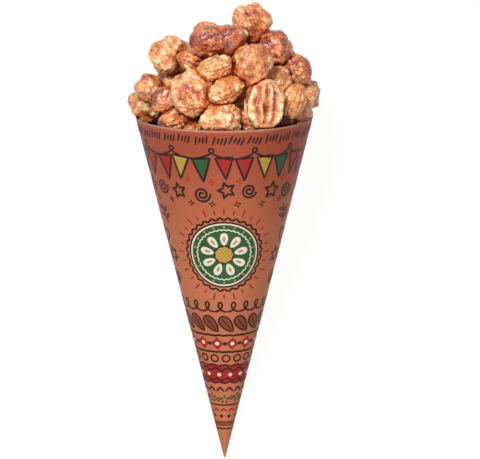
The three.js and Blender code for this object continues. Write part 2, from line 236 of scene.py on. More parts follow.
def put_in_scene(name: str, data: bpy.types.ID) -> bpy.types.Object:
    """Makes an object of a mesh, a lamp or a camera, at the origin.

    Args:
        name: the object's name.
        data: what it shows.

    Returns:
        The new object.
    """
    made = bpy.data.objects.new(name, data)
    bpy.context.scene.collection.objects.link(made)
    return made


def faces_of(meshes: Iterable[bpy.types.Mesh]) -> BVHTree:
    """All the faces of the meshes together, for finding what a point or a line comes to.

    Args:
        meshes: the meshes, placed where they are seen.

    Returns:
        The tree of their faces.
    """
    points: list[Vector] = []
    faces: list[tuple[int, ...]] = []
    for mesh in meshes:
        base = len(points)
        points.extend(corner.co for corner in mesh.vertices)
        faces.extend(tuple(base + i for i in face.vertices) for face in mesh.polygons)
    return BVHTree.FromPolygons(points, faces)


class ShapeTree(NodeSheet):
    """A Geometry Nodes tree with named inputs, which makes one mesh from another."""

    def __init__(self, name: str, inputs: Mapping[str, object]) -> None:
        """Makes the tree and its inputs.

        Args:
            name: the tree's name.
            inputs: each input's name and default; None stands for a material.
        """
        super().__init__(bpy.data.node_groups.new(name, "GeometryNodeTree"))
        face = self.tree.interface
        face.new_socket("Geometry", in_out="OUTPUT", socket_type="NodeSocketGeometry")
        face.new_socket("Geometry", in_out="INPUT", socket_type="NodeSocketGeometry")
        self.identifiers: dict[str, str] = {}
        for label, default in inputs.items():
            kind = {int: "Int", float: "Float", tuple: "Vector"}.get(type(default), "Material")
            item = face.new_socket(label, in_out="INPUT", socket_type=f"NodeSocket{kind}")
            if default is not None:
                item.default_value = default
            self.identifiers[label] = item.identifier
        self.entry = self.node("NodeGroupInput")

    def __getitem__(self, name: str) -> Value:
        """One of the tree's inputs."""
        return Value(self, self.entry.outputs[name])

    def dressed(self, geometry: Value, material: str, faces: Value | bool = True) -> Value:
        """Gives the chosen faces the material of this input."""
        inputs = {"Geometry": geometry, "Selection": faces, "Material": self[material]}
        return self.value("GeometryNodeSetMaterial", None, inputs)

    def end(self, geometry: Value, material: str | None = None) -> None:
        """Realizes the geometry, gives it the material of this input, where one is named, and ends."""
        real = self.value("GeometryNodeRealizeInstances", None, {"Geometry": geometry})
        self.node("NodeGroupOutput", None, {0: self.dressed(real, material) if material else real})

    def moved(self, geometry: Value, place: Value | None = None, by: Value | None = None) -> Value:
        """Moves every point of the geometry to a place or by a step.

        Args:
            geometry: what moves.
            place: where each point goes.
            by: each point's step.

        Returns:
            The moved geometry.
        """
        inputs = {"Geometry": geometry}
        if place is not None:
            inputs["Position"] = place
        if by is not None:
            inputs["Offset"] = by
        return self.value("GeometryNodeSetPosition", None, inputs)

    def thickened(self, flat: Value, thickness: Value) -> tuple[Value, Value, Value]:
        """Raises a flat sheet into a closed slab.

        Args:
            flat: the sheet's under side, facing up.
            thickness: how thick the slab is.

        Returns:
            The raised top with its side walls, the under side turned over, and which faces are the top.
        """
        lifted = self.node(
            "GeometryNodeExtrudeMesh",
            {"mode": "FACES"},
            {"Mesh": flat, "Offset Scale": thickness, "Individual": False},
        )
        under = self.value("GeometryNodeFlipFaces", None, {"Mesh": flat})
        return Value(self, lifted.outputs["Mesh"]), under, Value(self, lifted.outputs["Top"])

    def joined(self, *parts: Value) -> Value:
        """Joins the geometries.

        Args:
            parts: the geometries, in any number.

        Returns:
            All of them as one.
        """
        join = self.node("GeometryNodeJoinGeometry")
        for part in parts:
            self.tree.links.new(part.socket, join.inputs[0])
        return Value(self, join.outputs[0])

    def welded(self, *parts: Value) -> Value:
        """Joins the geometries and merges the points where they meet."""
        inputs = {"Geometry": self.joined(*parts), "Distance": 0.001 * MM}
        return self.value("GeometryNodeMergeByDistance", None, inputs)

    def shaded(self, geometry: Value, smooth: bool, edges: Value | None = None) -> Value:
        """Shades every face, or only the chosen edges, smooth or sharp.

        Args:
            geometry: what is shaded.
            smooth: True for smooth.
            edges: the chosen edges, or None for every face.

        Returns:
            The shaded geometry.
        """
        domain = "FACE" if edges is None else "EDGE"
        chosen = True if edges is None else edges
        inputs = {"Geometry": geometry, "Selection": chosen, "Shade Smooth": smooth}
        return self.value("GeometryNodeSetShadeSmooth", {"domain": domain}, inputs)

    def stored(self, geometry: Value, numbers: Mapping[str, Term]) -> Value:
        """Stores numbers on every point of the geometry, each under its name.

        Args:
            geometry: what carries them.
            numbers: the numbers, by name.

        Returns:
            The geometry with its numbers.
        """
        for name, number in numbers.items():
            geometry = self.value(
                "GeometryNodeStoreNamedAttribute",
                {"data_type": "FLOAT", "domain": "POINT"},
                {"Geometry": geometry, "Name": name, "Value": number},
            )
        return geometry

    def shape(self, mesh: bpy.types.Mesh, name: str, inputs: Mapping[str, object]) -> bpy.types.Object:
        """Runs the tree on a mesh.

        Args:
            mesh: the mesh that goes in.
            name: the new object's name.
            inputs: the values of the tree's inputs, by name.

        Returns:
            An object at the origin that holds the result as a plain mesh.
        """
        piece = put_in_scene(name, mesh)
        modifier = piece.modifiers.new(self.tree.name, "NODES")
        modifier.node_group = self.tree
        for label, given in inputs.items():
            modifier[self.identifiers[label]] = given
        depsgraph = bpy.context.evaluated_depsgraph_get()
        made = bpy.data.meshes.new_from_object(
            piece.evaluated_get(depsgraph), preserve_all_data_layers=True, depsgraph=depsgraph
        )
        piece.modifiers.remove(modifier)
        piece.data = made
        made.name = name
        return piece


# Sizes that the card, the print and the nuts share


@dataclass(frozen=True)
class ConeSize:
    """The rolled cone's sizes, in metres and degrees.

    Attributes:
        rim_radius: the radius of the mouth.
        slant: how long the sheet is from the tip to the rim.
        card: how thick the card is.
        lap_edge: where the sheet's outer edge is, from the back towards the right.
        lap_angle: how far it laps over the inner edge.
        lap_rise: how far round the sheet climbs on to the lap.
        lap_fade: how far from the tip the lap is thinner.
        rest_flat: how far round the back is pressed flat.
        tip: how far from the true tip the card ends.
    """

    rim_radius: float = 45.0 * MM
    slant: float = 187.0 * MM
    card: float = 0.4 * MM
    lap_edge: float = 68.0
    lap_angle: float = 18.0
    lap_rise: float = 8.0
    lap_fade: float = 14.0 * MM
    rest_flat: float = 18.0
    tip: float = 1.6 * MM

    @property
    def sine(self) -> float:
        """The sine of the angle between the wall and the axis."""
        return self.rim_radius / self.slant

    @property
    def flat_tilt(self) -> float:
        """The angle between the axis and the pressed-flat strip, in radians."""
        slope = math.tan(math.asin(self.sine))
        half_flat = math.radians(self.rest_flat / 2)
        return math.atan(slope * math.cos(half_flat))

    def spread(self, around: float) -> float:
        """Where a place round the cone lies on the flat sheet.

        Args:
            around: degrees from the back towards the right, from lap_edge down to lap_edge - 360 - lap_angle.

        Returns:
            Degrees on the sheet from the line up the front, positive to the right.
        """
        return -(around + 180.0) * self.sine


class RollTree(ShapeTree):
    """A tree that rolls a flat sheet into the cone and lays it on its back.

    The sheet lies in the plane with the tip at the origin and the line up the cone's front along +Y. Height
    above the plane is height above the card's outer face.

    Attributes:
        LAP_LEAD: how many degrees before the lap the sheet is at its full height.
        LAP_LIFT: that height, in thicknesses of card.
        TIP_SHARE: how much of the cone's radius the card may take up at the tip.
        WAVE: the size of the wall's ripples, in metres.
    """

    LAP_LEAD = 0.3
    LAP_LIFT = 1.05
    TIP_SHARE = 0.98
    WAVE = 42.0 * MM

    def __init__(self, name: str, inputs: Mapping[str, object]) -> None:
        """Adds the cone's own inputs to the given ones."""
        super().__init__(name, {**self.sizes(ConeSize(), 0.0), **inputs})

    @staticmethod
    def sizes(cone: ConeSize, ripple: float) -> dict[str, object]:
        """The values of the cone's own inputs.

        Args:
            cone: the cone's sizes.
            ripple: how far the wall bends in and out, in metres.

        Returns:
            A value for each input, by its name.
        """
        return {
            "Rim Radius": cone.rim_radius,
            "Slant": cone.slant,
            "Card Thickness": cone.card,
            "Lap Start": cone.lap_edge - cone.lap_angle,
            "Lap Rise": cone.lap_rise,
            "Lap Fade": cone.lap_fade,
            "Rest Flat": cone.rest_flat,
            "Ripple": ripple,
        }

    def rolled(self, flat: Value) -> Value:
        """Rolls the flat sheet.

        Args:
            flat: the sheet's geometry.

        Returns:
            The same geometry on the cone.
        """
        x, y, height = self.parts(self.value("GeometryNodeInputPosition"))
        distance = (x * x + y * y) ** 0.5
        sine = self["Rim Radius"] / self["Slant"]
        cosine = (1.0 - sine * sine) ** 0.5
        around = -math.pi - x.math("ARCTAN2", x, y) / sine
        east = around.math("SINE", around)
        north = around.math("COSINE", around)

        start = self["Lap Start"] * DEGREE
        full = start - self.LAP_LEAD * DEGREE
        climb = around.ramp(start - self["Lap Rise"] * DEGREE, full, smooth=False)
        near_tip = (distance / self["Lap Fade"]).least(1.0)
        lift = climb * near_tip * self["Card Thickness"] * self.LAP_LIFT
        thin = (distance * sine / self["Card Thickness"] * self.TIP_SHARE).least(1.0)

        pressed = self["Rest Flat"] * DEGREE * 0.5
        half_flat = pressed.math("COSINE", pressed)
        tangent = sine / cosine
        slope = tangent * half_flat / north.most(half_flat)
        line = self.vector("NORMALIZE", self.combined(slope * east, slope * north, 1.0))
        outward = self.combined(cosine * east, cosine * north, sine * -1.0)
        spot = self.vector("SCALE", line, distance)

        # The wall is stiffest on the ground and near the tip.
        waves = self.noise(spot, self.WAVE, 1.0) * 2.0 - 1.0
        free = north.ramp(0.75, 0.2) * distance.ramp(20.0 * MM, 70.0 * MM)
        ripple = waves * free * self["Ripple"]
        rolled = self.vector("ADD", spot, self.vector("SCALE", outward, lift + height * thin + ripple))

        slant_up = tangent * half_flat
        laid = self.tipped(rolled, slant_up.math("ARCTANGENT", slant_up) - math.pi / 2)
        middle = self.combined(y=self["Slant"] * -0.5)
        return self.moved(flat, self.vector("ADD", laid, middle))


# Finishes


class Finish(NodeSheet):
    """A material with one principled shader, whose patterns follow Object coordinates."""

    def __init__(self, name: str) -> None:
        """Makes an empty material of this name."""
        self.material = bpy.data.materials.new(name)
        self.material.use_nodes = True
        self.material.node_tree.nodes.clear()
        super().__init__(self.material.node_tree)
        self.place = self.value("ShaderNodeTexCoord", output="Object")

    def bump(self, height: Value, depth: float) -> Value:
        """Turns a height from 0 to 1 into a normal, where 1 stands depth metres above 0."""
        inputs = {"Strength": 1.0, "Distance": depth, "Height": height}
        return self.value("ShaderNodeBump", None, inputs)

    def attribute(self, name: str) -> Value:
        """A number that the mesh carries under this name."""
        return self.value("ShaderNodeAttribute", {"attribute_name": name}, None, "Fac")

    def shade(self, inputs: Mapping[str, object]) -> bpy.types.Material:
        """Ends the material in a principled shader with these inputs.

        Args:
            inputs: the shader's values and links, by name.

        Returns:
            The finished material.
        """
        shader = self.node("ShaderNodeBsdfPrincipled", None, inputs)
        self.node("ShaderNodeOutputMaterial", None, {"Surface": shader.outputs[0]})
        return self.material


@dataclass(frozen=True)
class CardFinish:
    """Thin card with a coloured, slightly metallic outer face.

    Attributes:
        colour: the card's colour.
        worn_colour: its colour at worn edges.
        rim_shade_colour: its colour near the rim, where it is darkened as painted shade.
        metallic: how metallic it is, from 0 to 1.
        roughness: its least roughness.
        gloss: how much it reflects.
        grain: the size of its finest grain, in metres.
        grain_depth: how deep that grain is, in metres.
    """

    colour: Colour
    worn_colour: Colour
    rim_shade_colour: Colour
    metallic: float = 0.1
    roughness: float = 0.45
    gloss: float = 0.16
    grain: float = 0.55 * MM
    grain_depth: float = 0.035 * MM

    def material(self, name: str) -> bpy.types.Material:
        """Makes the material.

        Args:
            name: the material's name.

        Returns:
            Card with soft mottling, a fine grain, paler worn edges and painted shade that darkens it towards
            the rim.
        """
        sheet = Finish(name)
        clouds = sheet.noise(sheet.place, 30.0 * MM, 3.0, 0.55)
        mottle = sheet.noise(sheet.place, 2.4 * MM, 3.0, 0.6)
        grain = sheet.noise(sheet.place, self.grain, 3.0, 0.65)
        light = 0.93 + clouds * 0.08 + mottle * 0.05 + grain * 0.05
        # Painted shade: the card is painted darker towards the rim.
        depth = sheet.attribute("depth") + (clouds - 0.5) * 0.12
        rim_shaded = sheet.mixed(depth, (*self.rim_shade_colour, 1.0), (*self.colour, 1.0))
        tinted = sheet.vector("SCALE", rim_shaded, light)
        worn = sheet.attribute("wear") * (0.25 + mottle * 1.3).least(1.0)
        colour = sheet.mixed(worn.least(1.0), tinted, (*self.worn_colour, 1.0))
        roughness = self.roughness + mottle * 0.08 + grain * 0.08 + worn * 0.15
        return sheet.shade(
            {
                "Base Color": colour,
                "Metallic": self.metallic,
                "Roughness": roughness,
                "Specular IOR Level": self.gloss,
                "Normal": sheet.bump(grain * 0.7 + mottle * 0.3, self.grain_depth),
            }
        )


class Ink(Enum):
    """The printed colours, each with how high it lies over the card in hundredths of a millimetre."""

    GREEN = ((0.027, 0.094, 0.027), 3)
    RED = ((0.36, 0.020, 0.012), 3)
    BROWN = ((0.24, 0.055, 0.020), 3)
    CREAM = ((0.80, 0.72, 0.60), 5)
    OCHRE = ((0.48, 0.30, 0.055), 7)
    BLACK = ((0.020, 0.006, 0.006), 9)

    @property
    def colour(self) -> Colour:
        """The ink's colour."""
        return self.value[0]

    @property
    def height(self) -> float:
        """How high the ink lies over the card, in metres."""
        return self.value[1] * 0.01 * MM


@dataclass(frozen=True)
class InkFinish:
    """Ink printed on the card, through which its grain shows.

    Attributes:
        ink: the printed colour.
        card: the card's colour where the ink is thin.
        metallic: how metallic it is, from 0 to 1.
        roughness: its least roughness.
        gloss: how much it reflects.
        grain: the size of the card's grain, in metres.
        grain_depth: how deep that grain is, in metres.
    """

    ink: Ink
    card: Colour = (0.42, 0.15, 0.08)
    metallic: float = 0.1
    roughness: float = 0.44
    gloss: float = 0.2
    grain: float = 0.55 * MM
    grain_depth: float = 0.03 * MM

    def material(self) -> bpy.types.Material:
        """Makes the ink's material, with slightly uneven cover.

        Returns:
            The material.
        """
        sheet = Finish(f"ink {self.ink.name.lower()}")
        patches = sheet.noise(sheet.place, 5.0 * MM, 3.0, 0.6)
        grain = sheet.noise(sheet.place, self.grain, 3.0, 0.65)
        tinted = sheet.vector("SCALE", self.ink.colour, 0.82 + patches * 0.26 + grain * 0.1)
        thin = (grain - 0.6).most(0.0) * 1.2
        colour = sheet.mixed(thin.least(0.5), tinted, (*self.card, 1.0))
        return sheet.shade(
            {
                "Base Color": colour,
                "Metallic": self.metallic,
                "Roughness": self.roughness + patches * 0.1,
                "Specular IOR Level": self.gloss,
                "Normal": sheet.bump(grain, self.grain_depth),
            }
        )


@dataclass(frozen=True)
class CoatFinish:
    """A cooked sugar coat, dark in its hollows, partly as painted shade, and pale on its crests, partly where
    crystals stand and partly as a painted highlight.

    Attributes:
        hollow: the colour of the deepest hollows, partly painted shade.
        syrup: the colour of dark syrup.
        amber: the colour between the lumps.
        toffee: the colour of the lumps.
        crystal: the colour of the crests, partly pale sugar and partly a painted highlight.
        roughness: its least roughness.
        coat: how much clear glaze lies over the lower places.
        glaze_roughness: how rough that glaze is.
        blotch: the size of its blotches, in metres.
        speck: the size of its specks, in metres.
        pimple: the size of its finest bumps, in metres.
        pimple_height: how high they are, in metres.
        glow: how much light goes through it.
        glow_reach: how far that light goes, in metres.
    """

    hollow: Colour = (0.13, 0.014, 0.006)
    syrup: Colour = (0.36, 0.052, 0.014)
    amber: Colour = (0.64, 0.17, 0.038)
    toffee: Colour = (0.86, 0.40, 0.145)
    crystal: Colour = (0.98, 0.80, 0.55)
    roughness: float = 0.32
    coat: float = 0.4
    glaze_roughness: float = 0.18
    blotch: float = 3.2 * MM
    speck: float = 0.8 * MM
    pimple: float = 0.9 * MM
    pimple_height: float = 0.25 * MM
    glow: float = 0.08
    glow_reach: float = 2.0 * MM

    def material(self, name: str) -> bpy.types.Material:
        """Makes the material.

        Args:
            name: the material's name.

        Returns:
            A glossy, mottled coat whose colour follows the mesh's crust height, with painted shade in the
            hollows and a painted highlight on the crests.
        """
        sheet = Finish(name)
        crust = sheet.attribute("crust")
        tone = sheet.attribute("tone")
        blotch = sheet.noise(sheet.place, self.blotch, 4.0, 0.6)
        speck = sheet.noise(sheet.place, self.speck, 3.0, 0.65)
        cells = sheet.value(
            "ShaderNodeTexVoronoi", None, {"Vector": sheet.place, "Scale": 1.0 / self.pimple}
        )
        # Painted light: low crust gives painted shade in the hollows, high crust a painted highlight on the
        # crests.
        shading_and_tone = crust + (blotch - 0.5) + (speck - 0.5) * 0.85 + tone - 0.01
        stops = (
            (0.04, self.hollow),
            (0.24, self.syrup),
            (0.48, self.amber),
            (0.71, self.toffee),
            (0.97, self.crystal),
        )
        colour = sheet.value("ShaderNodeValToRGB", {"stops": stops}, {"Fac": shading_and_tone})
        frosted = shading_and_tone.ramp(0.6, 1.0)
        bumps = (1.0 - cells) * 0.5 + speck * 0.5
        return sheet.shade(
            {
                "Base Color": colour,
                "Roughness": self.roughness + frosted * 0.25,
                "Coat Weight": self.coat - frosted * 0.2,
                "Coat Roughness": self.glaze_roughness,
                "Subsurface Weight": self.glow,
                "Subsurface Radius": (1.0, 0.35, 0.15),
                "Subsurface Scale": self.glow_reach,
                "Normal": sheet.bump(bumps, self.pimple_height),
            }
        )


# The card


@dataclass(frozen=True)
class PaperCone:
    """The sheet of card, rolled into a cone that laps over itself at the right of its back.

    Attributes:
        size: the cone's sizes.
        ripple: how far the wall bends in and out, in metres.
        wear: how far in from an edge the card is worn, in metres.
        fade: how far down from the rim the painted shade reaches, in metres.
        crease: how sharp a bend looks like an edge, in radians.
        columns: how many faces there are round the sheet.
        rows: how many there are up to its last millimetres.
        crowding: how much closer the rows are towards the tip.
        rim_steps: how far from the rim the last rows are, in millimetres.
    """

    size: ConeSize
    ripple: float = 0.2 * MM
    wear: float = 1.6 * MM
    fade: float = 84.0 * MM
    crease: float = 0.6
    columns: int = 378
    rows: int = 40
    crowding: float = 1.25
    rim_steps: tuple[float, ...] = (2.4, 1.2, 0.6, 0.25, 0.0)

    def flat_sheet(self) -> bpy.types.Mesh:
        """Lays out the sheet's under side as a grid, flat in the plane.

        Returns:
            The flat mesh, facing up.
        """
        size = self.size
        turn = 360.0 + size.lap_angle
        points = []
        reach = size.slant - self.rim_steps[0] * MM - size.tip
        shares = [(row / self.rows) ** self.crowding for row in range(self.rows + 1)]
        distances = [size.tip + reach * share for share in shares]
        distances += [size.slant - step * MM for step in self.rim_steps[1:]]
        for distance in distances:
            for column in range(self.columns + 1):
                side = math.radians(size.spread(size.lap_edge - turn * column / self.columns))
                points.append((distance * math.sin(side), distance * math.cos(side), -size.card))
        wide = self.columns + 1
        corners = [
            row * wide + column for row in range(len(distances) - 1) for column in range(self.columns)
        ]
        faces = [(corner, corner + 1, corner + wide + 1, corner + wide) for corner in corners]
        mesh = bpy.data.meshes.new("flat sheet")
        mesh.from_pydata(points, [], faces)
        return mesh

    def tree(self) -> RollTree:
        """Builds the tree that thickens and rolls the sheet, and marks how worn it is and how dark its
        painted shade near the rim is.

        Returns:
            The tree.
        """
        tree = RollTree("rolled card", self.inputs(None, None))
        top, under, is_top = tree.thickened(tree["Geometry"], tree["Card Thickness"])
        outer = tree.dressed(tree.dressed(top, "Inner Face"), "Outer Face", is_top)
        slab = tree.welded(outer, tree.dressed(under, "Inner Face"))

        x, y, _ = tree.parts(tree.value("GeometryNodeInputPosition"))
        distance = (x * x + y * y) ** 0.5
        sine = tree["Rim Radius"] / tree["Slant"]
        edge = (tree["Lap Edge"] * DEGREE + math.pi) * sine
        from_lap = (x.math("ARCTAN2", x, y) + edge) * distance
        from_rim = tree["Slant"] - distance
        wear = from_lap.least(from_rim).ramp(0.0, tree["Wear Reach"], 0.85, 0.0)
        # Painted shade: 0 near the rim, where the card is painted darkest, rising to 1 further down the
        # sheet.
        depth = from_rim.ramp(2.0 * MM, tree["Fade Reach"])
        rolled = tree.rolled(tree.stored(slab, {"wear": wear, "depth": depth}))
        bend = tree.value("GeometryNodeInputMeshEdgeAngle", None, None, "Unsigned Angle")
        sharp = bend.math("GREATER_THAN", bend, self.crease)
        tree.end(tree.shaded(tree.shaded(rolled, True), False, sharp))
        return tree

    def inputs(self, outer: bpy.types.Material | None, inner: bpy.types.Material | None) -> dict[str, object]:
        """The values of the tree's own inputs, with the materials of the card's two faces.

        Args:
            outer: the outer face's material.
            inner: the inner face's material.

        Returns:
            A value for each input, by its name.
        """
        return {
            "Lap Edge": self.size.lap_edge,
            "Wear Reach": self.wear,
            "Fade Reach": self.fade,
            "Outer Face": outer,
            "Inner Face": inner,
        }

    def build(self) -> bpy.types.Object:
        """Makes the cone in place of its CAD node.

        Returns:
            The cone.
        """
        # Both faces are painted darker towards the rim as painted shade.
        copper = CardFinish(
            colour=(0.55, 0.172, 0.078), worn_colour=(0.70, 0.36, 0.22), rim_shade_colour=(0.36, 0.072, 0.036)
        )
        # The back's near-black colour is painted shade, standing in for the shadow inside the cone.
        shade_dark_back = CardFinish(
            colour=(0.085, 0.060, 0.085),
            worn_colour=(0.20, 0.12, 0.14),
            rim_shade_colour=(0.07, 0.05, 0.075),
            metallic=0.0,
            roughness=0.5,
        )
        outer, inner = copper.material("copper card"), shade_dark_back.material("card back")
        values = {**RollTree.sizes(self.size, self.ripple), **self.inputs(outer, inner)}
        cone = self.tree().shape(self.flat_sheet(), "rolled_card_cone", values)
        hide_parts("paper_cone")
        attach(cone, ROOT)
        log.info("%s: %d faces", cone.name, len(cone.data.polygons))
        return cone


# The print


class Stencil:
    """Collects flat printed shapes, in millimetres, and makes one mesh of them."""

    def __init__(self) -> None:
        """Starts empty."""
        self.points: list[Point] = []
        self.faces: list[tuple[int, ...]] = []

    def strip(self, left: Sequence[Point], right: Sequence[Point], closed: bool = False) -> Stencil:
        """Fills between two lines of points that run the same way.

        Args:
            left: the points on the left.
            right: as many points on the right.
            closed: True to join the end to the start.

        Returns:
            The stencil itself.
        """
        base, count = len(self.points), len(left)
        for pair in zip(left, right):
            self.points.extend(pair)
        for i in range(count if closed else count - 1):
            a, b = base + 2 * i, base + 2 * ((i + 1) % count)
            self.faces.append((a, a + 1, b + 1, b))
        return self

    def stroke(self, path: Sequence[Point], width: float, closed: bool = False) -> Stencil:
        """Draws a line of this width along a path.

        Args:
            path: the points along its middle.
            width: how wide it is; an open line narrows to 0.6 of that at its ends.
            closed: True for a loop.

        Returns:
            The stencil itself.
        """
        left, right = [], []
        last = len(path) - 1
        for i, (x, y) in enumerate(path):
            before = path[i - 1] if closed or i else path[0]
            after = path[(i + 1) % len(path)] if closed or i < last else path[last]
            along = Vector((after[0] - before[0], after[1] - before[1])).normalized()
            half = width / 2 if closed or 0 < i < last else width * 0.3
            left.append((x - along.y * half, y + along.x * half))
            right.append((x + along.y * half, y - along.x * half))
        return self.strip(left, right, closed)

    def fill(self, outline: Sequence[Point], centre: Point = (0.0, 0.0), rings: int = 3) -> Stencil:
        """Fills an outline that can be seen whole from its centre.

        Args:
            outline: its points, anticlockwise.
            centre: the place that the fill spreads from.
            rings: how many rings of faces there are from the centre out.

        Returns:
            The stencil itself.
        """
        base, count = len(self.points), len(outline)
        self.points.append(centre)
        for ring in range(1, rings + 1):
            share = ring / rings
            for x, y in outline:
                step = ((x - centre[0]) * share, (y - centre[1]) * share)
                self.points.append((centre[0] + step[0], centre[1] + step[1]))
        for i in range(count):
            after = (i + 1) % count
            self.faces.append((base, base + 1 + i, base + 1 + after))
            for ring in range(rings - 1):
                near, far = base + 1 + ring * count, base + 1 + (ring + 1) * count
                self.faces.append((near + i, far + i, far + after, near + after))
        return self

    def mesh(self, name: str) -> bpy.types.Mesh:
        """Makes the flat mesh, facing up.

        Args:
            name: the mesh's name.

        Returns:
            The mesh, in metres.
        """
        made = bpy.data.meshes.new(name)
        made.from_pydata([(x * MM, y * MM, 0.0) for x, y in self.points], [], self.faces)
        work = bmesh.new()
        work.from_mesh(made)
        for face in work.faces:
            face.normal_update()
            if face.normal.z < 0:
                face.normal_flip()
        work.to_mesh(made)
        work.free()
        return made


def turns_of(parts: int) -> list[float]:
    """Evenly spaced turns round a circle, in radians."""
    return [2 * math.pi * i / parts for i in range(parts)]


def circle(
    radius: float,
    parts: int,
    centre: Point = (0.0, 0.0),
    waves: int = 0,
    swing: float = 0.0,
) -> list[Point]:
    """Points round a circle.

    Args:
        radius: the mean radius.
        parts: how many points.
        centre: the middle.
        waves: how many lobes the edge has.
        swing: how far the lobes go in and out.

    Returns:
        The points, anticlockwise.
    """
    points = []
    for turn in turns_of(parts):
        reach = radius + swing * math.cos(waves * turn)
        points.append((centre[0] + reach * math.cos(turn), centre[1] + reach * math.sin(turn)))
    return points


def curve(shape: Callable[[float], Point], parts: int) -> list[Point]:
    """Points of a curve, for shares from 0 to 1."""
    return [shape(i / parts) for i in range(parts + 1)]


class Motif:
    """The shapes that the design is put together from, each about its own middle."""

    @staticmethod
    def pennant_outline(wide: float, high: float, parts: int) -> list[Point]:
        """A small flag's outline, clockwise and point down, with this many steps a side.

        Args:
            wide: its width.
            high: its height.
            parts: the steps down each side.

        Returns:
            The outline's points.
        """
        top = [(-wide / 2 + wide * i / 6, 0.0) for i in range(6)]
        right = [(wide / 2 - wide / 2 * i / parts, -high * (i / parts) ** 0.92) for i in range(parts)]
        left = [(-wide / 2 * i / parts, -high * (1 - i / parts)) for i in range(parts)]
        return [*top, *right, *left]

    @staticmethod
    def pennant(wide: float, high: float) -> Stencil:
        """A filled flag."""
        outline = Motif.pennant_outline(wide, high, 7)
        return Stencil().fill([*reversed(outline)], (0.0, -high * 0.34), 5)

    @staticmethod
    def pennant_edge(wide: float, high: float, line: float) -> Stencil:
        """The flag's drawn edge."""
        return Stencil().stroke(Motif.pennant_outline(wide, high, 8), line, True)

    @staticmethod
    def swag(wide: float, sag: float, line: float) -> Stencil:
        """A hanging cord between two ties."""
        path = curve(lambda t: ((t - 0.5) * wide, -sag * 4 * t * (1 - t)), 16)
        return Stencil().stroke(path, line)

    @staticmethod
    def swirl(radius: float, turns: float, line: float) -> Stencil:
        """A spiral.

        Args:
            radius: its radius.
            turns: how often it goes round.
            line: how wide its line is.

        Returns:
            The shape.
        """

        def spiral(share: float) -> Point:
            turn, reach = 2 * math.pi * turns * share, radius * (0.12 + 0.88 * share)
            return (reach * math.cos(turn), reach * math.sin(turn))

        return Stencil().stroke(curve(spiral, int(26 * turns)), line)

    @staticmethod
    def star(radius: float, points: int, line: float) -> Stencil:
        """A star's outline, with its sides in short steps.

        Args:
            radius: its radius.
            points: how many points it has.
            line: how wide its line is.

        Returns:
            The shape.
        """
        corners = []
        for i, turn in enumerate(turns_of(2 * points)):
            reach = radius * (1.0 if i % 2 == 0 else 0.45)
            corners.append((reach * math.sin(turn), reach * math.cos(turn)))
        path = []
        for i, (x, y) in enumerate(corners):
            far = corners[(i + 1) % len(corners)]
            path += [(x + (far[0] - x) * t / 3, y + (far[1] - y) * t / 3) for t in range(3)]
        return Stencil().stroke(path, line, True)

    @staticmethod
    def heart(size: float, line: float) -> Stencil:
        """A heart's outline.

        Args:
            size: its width.
            line: how wide its line is.

        Returns:
            The shape.
        """

        def side(share: float) -> Point:
            t = 2 * math.pi * share
            high = 13 * math.cos(t) - 5 * math.cos(2 * t) - 2 * math.cos(3 * t) - math.cos(4 * t)
            return (size / 32 * 16 * math.sin(t) ** 3, size / 32 * high)

        return Stencil().stroke(curve(side, 30)[:-1], line, True)

    @staticmethod
    def sprig(high: float, line: float) -> Stencil:
        """A stem with pairs of leaves, drawn as loops beside it.

        Args:
            high: its height.
            line: how wide its line is.

        Returns:
            The shape.
        """
        drawing = Stencil().stroke(curve(lambda t: (0.0, high * (t - 0.5)), 8), line)
        for level, side in ((-0.28, 1), (-0.12, -1), (0.06, 1), (0.22, -1)):
            reach = high * 0.2
            foot = (side * line, high * level)
            leaf = [
                (foot[0] + side * x * reach, foot[1] + y * reach)
                for x, y in ((0.0, 0.0), (0.6, 0.05), (1.2, 0.5), (1.5, 1.1), (0.9, 0.95), (0.3, 0.55))
            ]
            drawing.stroke(leaf, line * 0.8, True)
        return drawing

    @staticmethod
    def rays(inner: float, outer: float, count: int, line: float) -> Stencil:
        """Short strokes round a circle, long and short in turn.

        Args:
            inner: where they start.
            outer: where they end.
            count: how many.
            line: how wide its line is.

        Returns:
            The shape.
        """
        drawing = Stencil()
        for i, turn in enumerate(turns_of(count)):
            far = outer if i % 2 == 0 else inner + (outer - inner) * 0.6
            reaches = (inner, (inner + far) / 2, far)
            drawing.stroke([(reach * math.sin(turn), reach * math.cos(turn)) for reach in reaches], line)
        return drawing

    @staticmethod
    def ring(radius: float, line: float, waves: int = 0, swing: float = 0.0) -> Stencil:
        """A ring, plain or scalloped."""
        path = circle(radius, max(16, int(radius * 9)), waves=waves, swing=swing)
        return Stencil().stroke(path, line, True)

    @staticmethod
    def disc(radius: float, waves: int = 0, swing: float = 0.0) -> Stencil:
        """A round spot, plain or scalloped."""
        outline = circle(radius, max(14, int(radius * 6)), waves=waves, swing=swing)
        return Stencil().fill(outline, rings=max(2, int(radius / 1.1)))

    @staticmethod
    def petals(inner: float, outer: float, count: int, wide: float) -> Stencil:
        """A ring of filled petals, each pointed at both ends.

        Args:
            inner: where they start.
            outer: where they end.
            count: how many.
            wide: each one's width.

        Returns:
            The shape.
        """
        drawing = Stencil()
        for turn in turns_of(count):
            out = Vector((math.sin(turn), math.cos(turn)))
            side = Vector((out.y, -out.x))
            outline = []
            for t in turns_of(16):
                reach = (inner + outer) / 2 + (outer - inner) / 2 * math.cos(t)
                spot = out * reach + side * (wide / 2 * math.sin(t) * (0.9 + 0.25 * math.cos(t)))
                outline.append((spot.x, spot.y))
            drawing.fill(outline, tuple(out * (inner + outer) / 2), 3)
        return drawing

